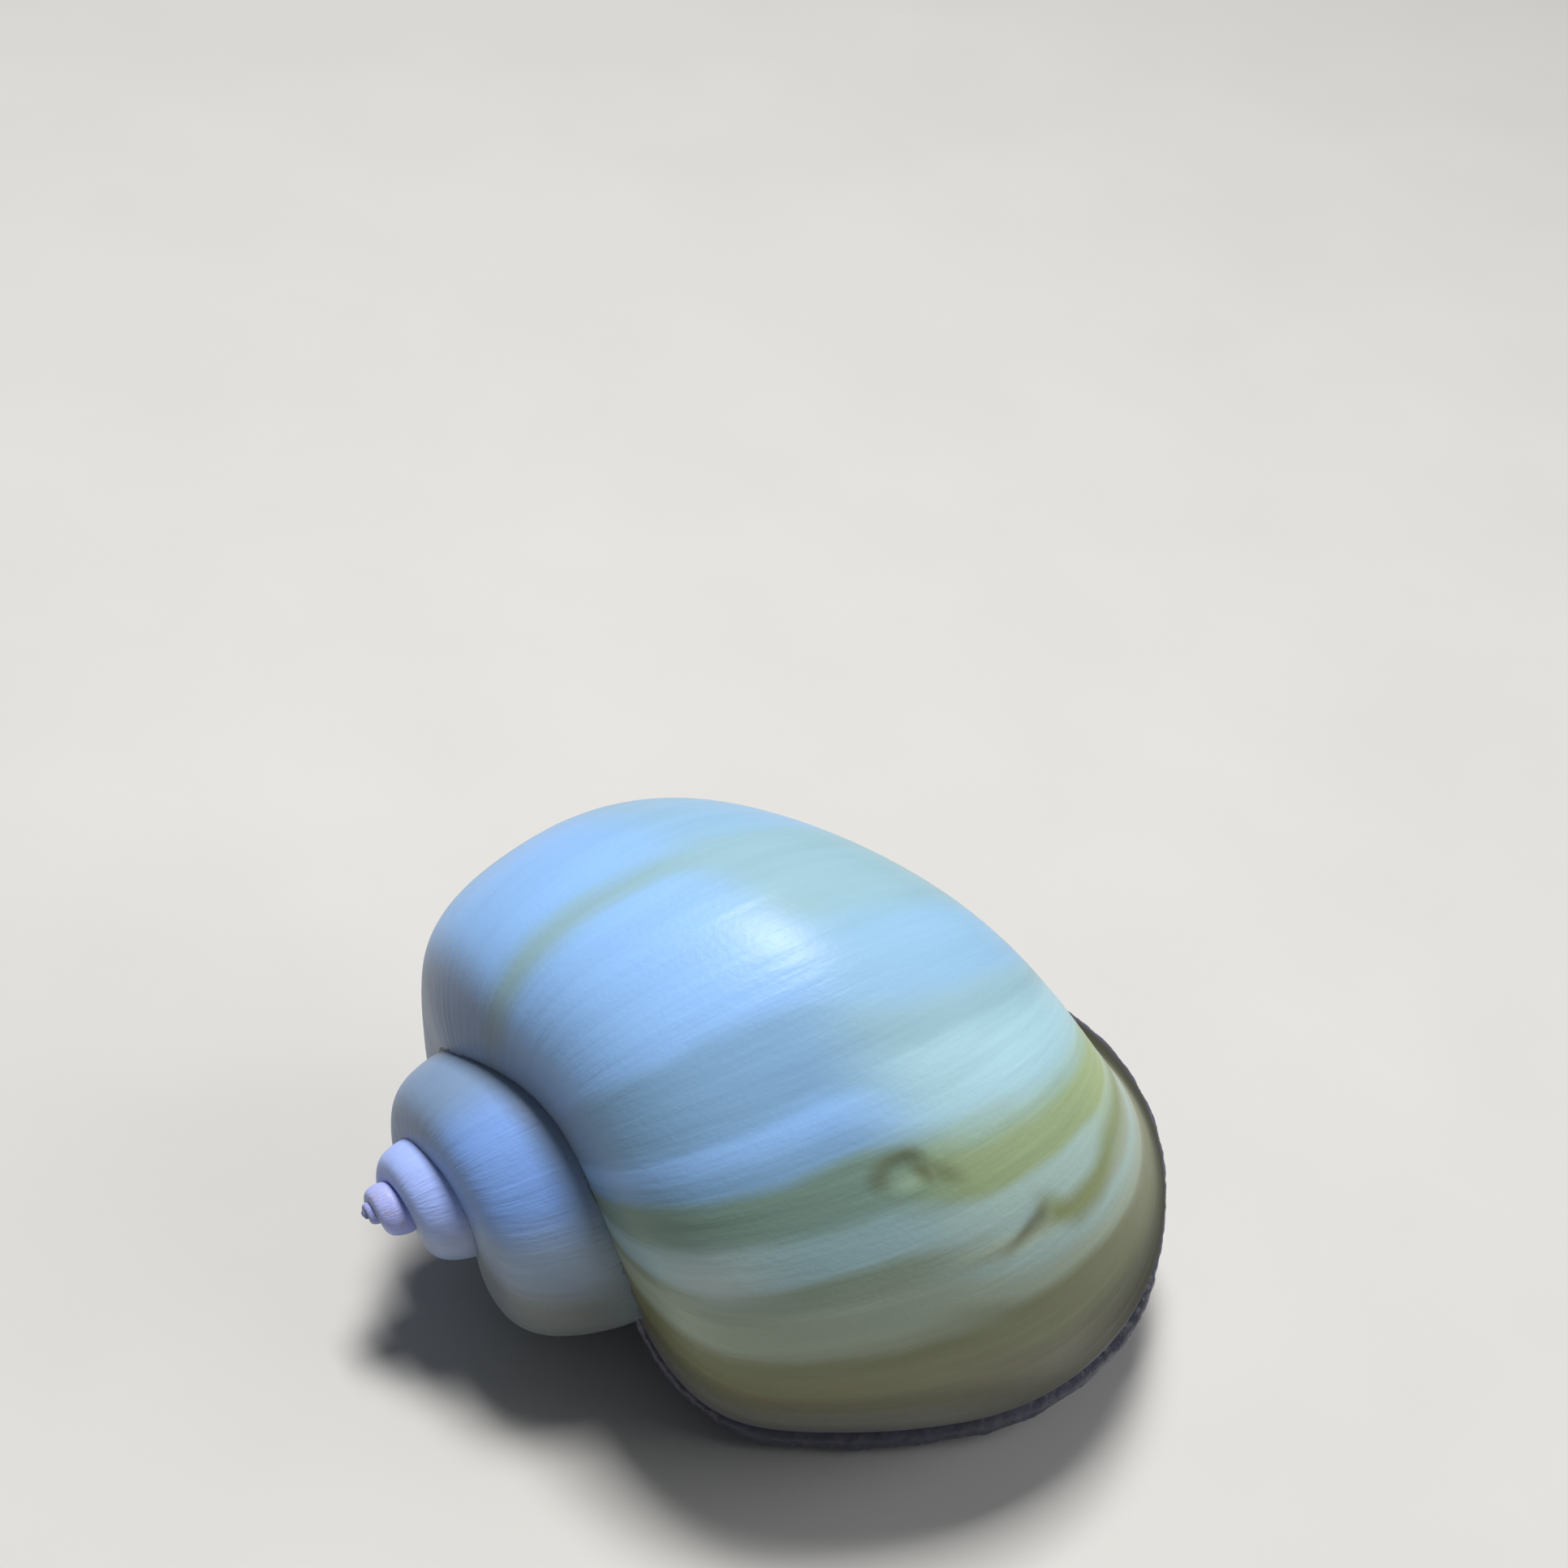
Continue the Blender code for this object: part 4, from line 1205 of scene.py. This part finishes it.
def make_eye(side, finish):
    """A glossy ball set in its collar, with a dull gold ring round it."""
    root, top, middle = eye_axis(SIDES[side])
    middle = np.array(middle)
    axis = np.array((top - root).normalized())
    aside = np.cross(axis, (0.0, 1.0, 0.0))
    aside /= np.linalg.norm(aside)
    third = np.cross(axis, aside)
    a = angles_round(48)
    circle = np.outer(np.cos(a), aside) + np.outer(np.sin(a), third)
    rings = []
    for lean in np.linspace(0.02, math.pi - 0.02, 32):
        rings.append(middle + EYE_BALL_RADIUS * (math.cos(lean) * axis + math.sin(lean) * circle))
    eye = loft(f"eye_ball_{side}", rings, finish)
    tilt = ((mesh_points(eye.data) - middle) @ axis) / EYE_RADIUS
    paint_attribute(eye.data, "iris", bump_at(tilt, 0.12, 0.22))
    return eye


def make_operculum(finish):
    """The horny door: a thin dished oval, its growth rings crowded round a point near one side."""
    point, heading = foot_line(OPERCULUM_ON_FOOT)
    centre = np.array((*point, 0.0)) + OPERCULUM_SHIFT
    along = np.array((*heading, 0.0)) * OPERCULUM_HALF_LENGTH
    across = np.array((-heading.y, heading.x, 0.0)) * OPERCULUM_HALF_WIDTH
    a = angles_round(96)
    edge = np.outer(np.cos(a), along) + np.outer(np.sin(a) * (1.0 + 0.1 * np.cos(a)), across)
    shares = np.linspace(0.04, 1.0, 56)
    levels = [(share, OPERCULUM_UNDERSIDE) for share in shares[::4]]
    for share in shares[::-1]:
        groove = OPERCULUM_RING_DEPTH * (1.0 + math.sin(share * 92.0))
        levels.append((share, OPERCULUM_FACE - OPERCULUM_DISH * (1.0 - share) - groove))
    rings = []
    marks = []
    for share, lift in levels:
        nucleus = across * NUCLEUS_SHIFT * (1.0 - share)
        rings.append(centre + nucleus + edge * share + (0.0, 0.0, lift))
        marks.append(np.full_like(a, share))
    door = loft("operculum_door", rings, finish)
    paint_attribute(door.data, "rings", np.concatenate([*marks, [0.0, 0.0]]))
    return door


# Camera, floor and light. Lengths are in metres, apart from the camera's place.

CAMERA_PLACE_MM = (-6.0, -119.43, 142.735)
CAMERA_DEPRESSION = math.radians(42.0)
CAMERA_ROLL = math.radians(12.0)
CAMERA_VIEW = math.radians(29.6015)
CAMERA_CLIP = (0.005, 10.0)
FLOOR_REACH = 1.5
FLOOR_TONES = ((0.53, 0.52, 0.50), (0.57, 0.56, 0.54))
LIGHT_TARGET = (0.0, 0.0, 0.015)
SKY_COLOUR = (0.85, 0.9, 1.0)
SKY_STRENGTH = 0.13


def make_camera():
    """Looks down at the back of the shell, a little tilted."""
    camera = placed("camera", bpy.data.cameras.new("camera"))
    camera.data.sensor_fit = "HORIZONTAL"
    camera.data.angle = CAMERA_VIEW
    camera.data.clip_start, camera.data.clip_end = CAMERA_CLIP
    turn = Matrix.Rotation(0.5 * math.pi - CAMERA_DEPRESSION, 4, "X") @ Matrix.Rotation(CAMERA_ROLL, 4, "Z")
    camera.matrix_world = Matrix.Translation(Vector(CAMERA_PLACE_MM) * MM) @ turn
    bpy.context.scene.camera = camera


def make_light(name, place, size, power, colour):
    """A square lamp that faces the snail."""
    lamp = bpy.data.lights.new(name, "AREA")
    lamp.size = size
    lamp.energy = power
    lamp.color = colour
    light = placed(name, lamp)
    light.location = place
    light.rotation_euler = (Vector(LIGHT_TARGET) - Vector(place)).to_track_quat("-Z", "Y").to_euler()


def make_floor():
    """A wide pale floor with a faint grain."""
    plain = Finish("pale_floor", Roughness=0.7)
    grain = plain.mottle(plain.place(), 60.0, 2.0)
    plain.finish(Base_Color=plain.blend(*FLOOR_TONES, grain))
    mesh = bpy.data.meshes.new("floor")
    corners = [(x * FLOOR_REACH, y * FLOOR_REACH, 0.0) for x, y in ((-1, -1), (1, -1), (1, 1), (-1, 1))]
    mesh.from_pydata(corners, [], [(0, 1, 2, 3)])
    mesh.materials.append(plain.material)
    floor = placed("floor", mesh)


def make_sky():
    """Faint even light from all round."""
    world = bpy.data.worlds.new("studio")
    world.use_nodes = True
    sky = world.node_tree.nodes["Background"].inputs
    sky["Color"].default_value = (*SKY_COLOUR, 1.0)
    sky["Strength"].default_value = SKY_STRENGTH
    bpy.context.scene.world = world


def make_stage():
    make_floor()
    make_light("key_light", (-0.05, 0.06, 0.42), 0.11, 2.1, (1.0, 0.99, 0.97))
    make_light("fill_light", (0.34, 0.02, 0.26), 0.30, 0.6, (0.97, 0.98, 1.0))
    make_sky()
    bpy.context.scene.view_settings.view_transform = "Standard"


# The pieces, and the CAD nodes that each one stands for

FLESH_NODES = ["mantle", "body_stalk", "foot_tail", "foot_middle", "foot_front", "neck", "head", "snout"]
FLESH_NODES += ["siphon", "nuchal_lobe_right"]
FLESH_NODES += [f"{part}_{side}" for part in ("palp", "eye_stalk") for side in SIDES]
FLESH_NODES += [f"tentacle_{side}_{length}" for side in SIDES for length in range(1, 5)]


def main():
    make_camera()
    make_stage()
    shell = make_shell(shell_finish())
    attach(shell, "root")
    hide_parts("shell")
    skin = make_skin(skin_finish())
    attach(skin, "root")
    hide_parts(*FLESH_NODES)
    eye_black = eye_finish()
    for side in SIDES:
        eye = make_eye(side, eye_black)
        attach(eye, "root")
        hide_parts(f"eye_{side}")
    door = make_operculum(horn_finish())
    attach(door, "root")
    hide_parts("operculum")


main()
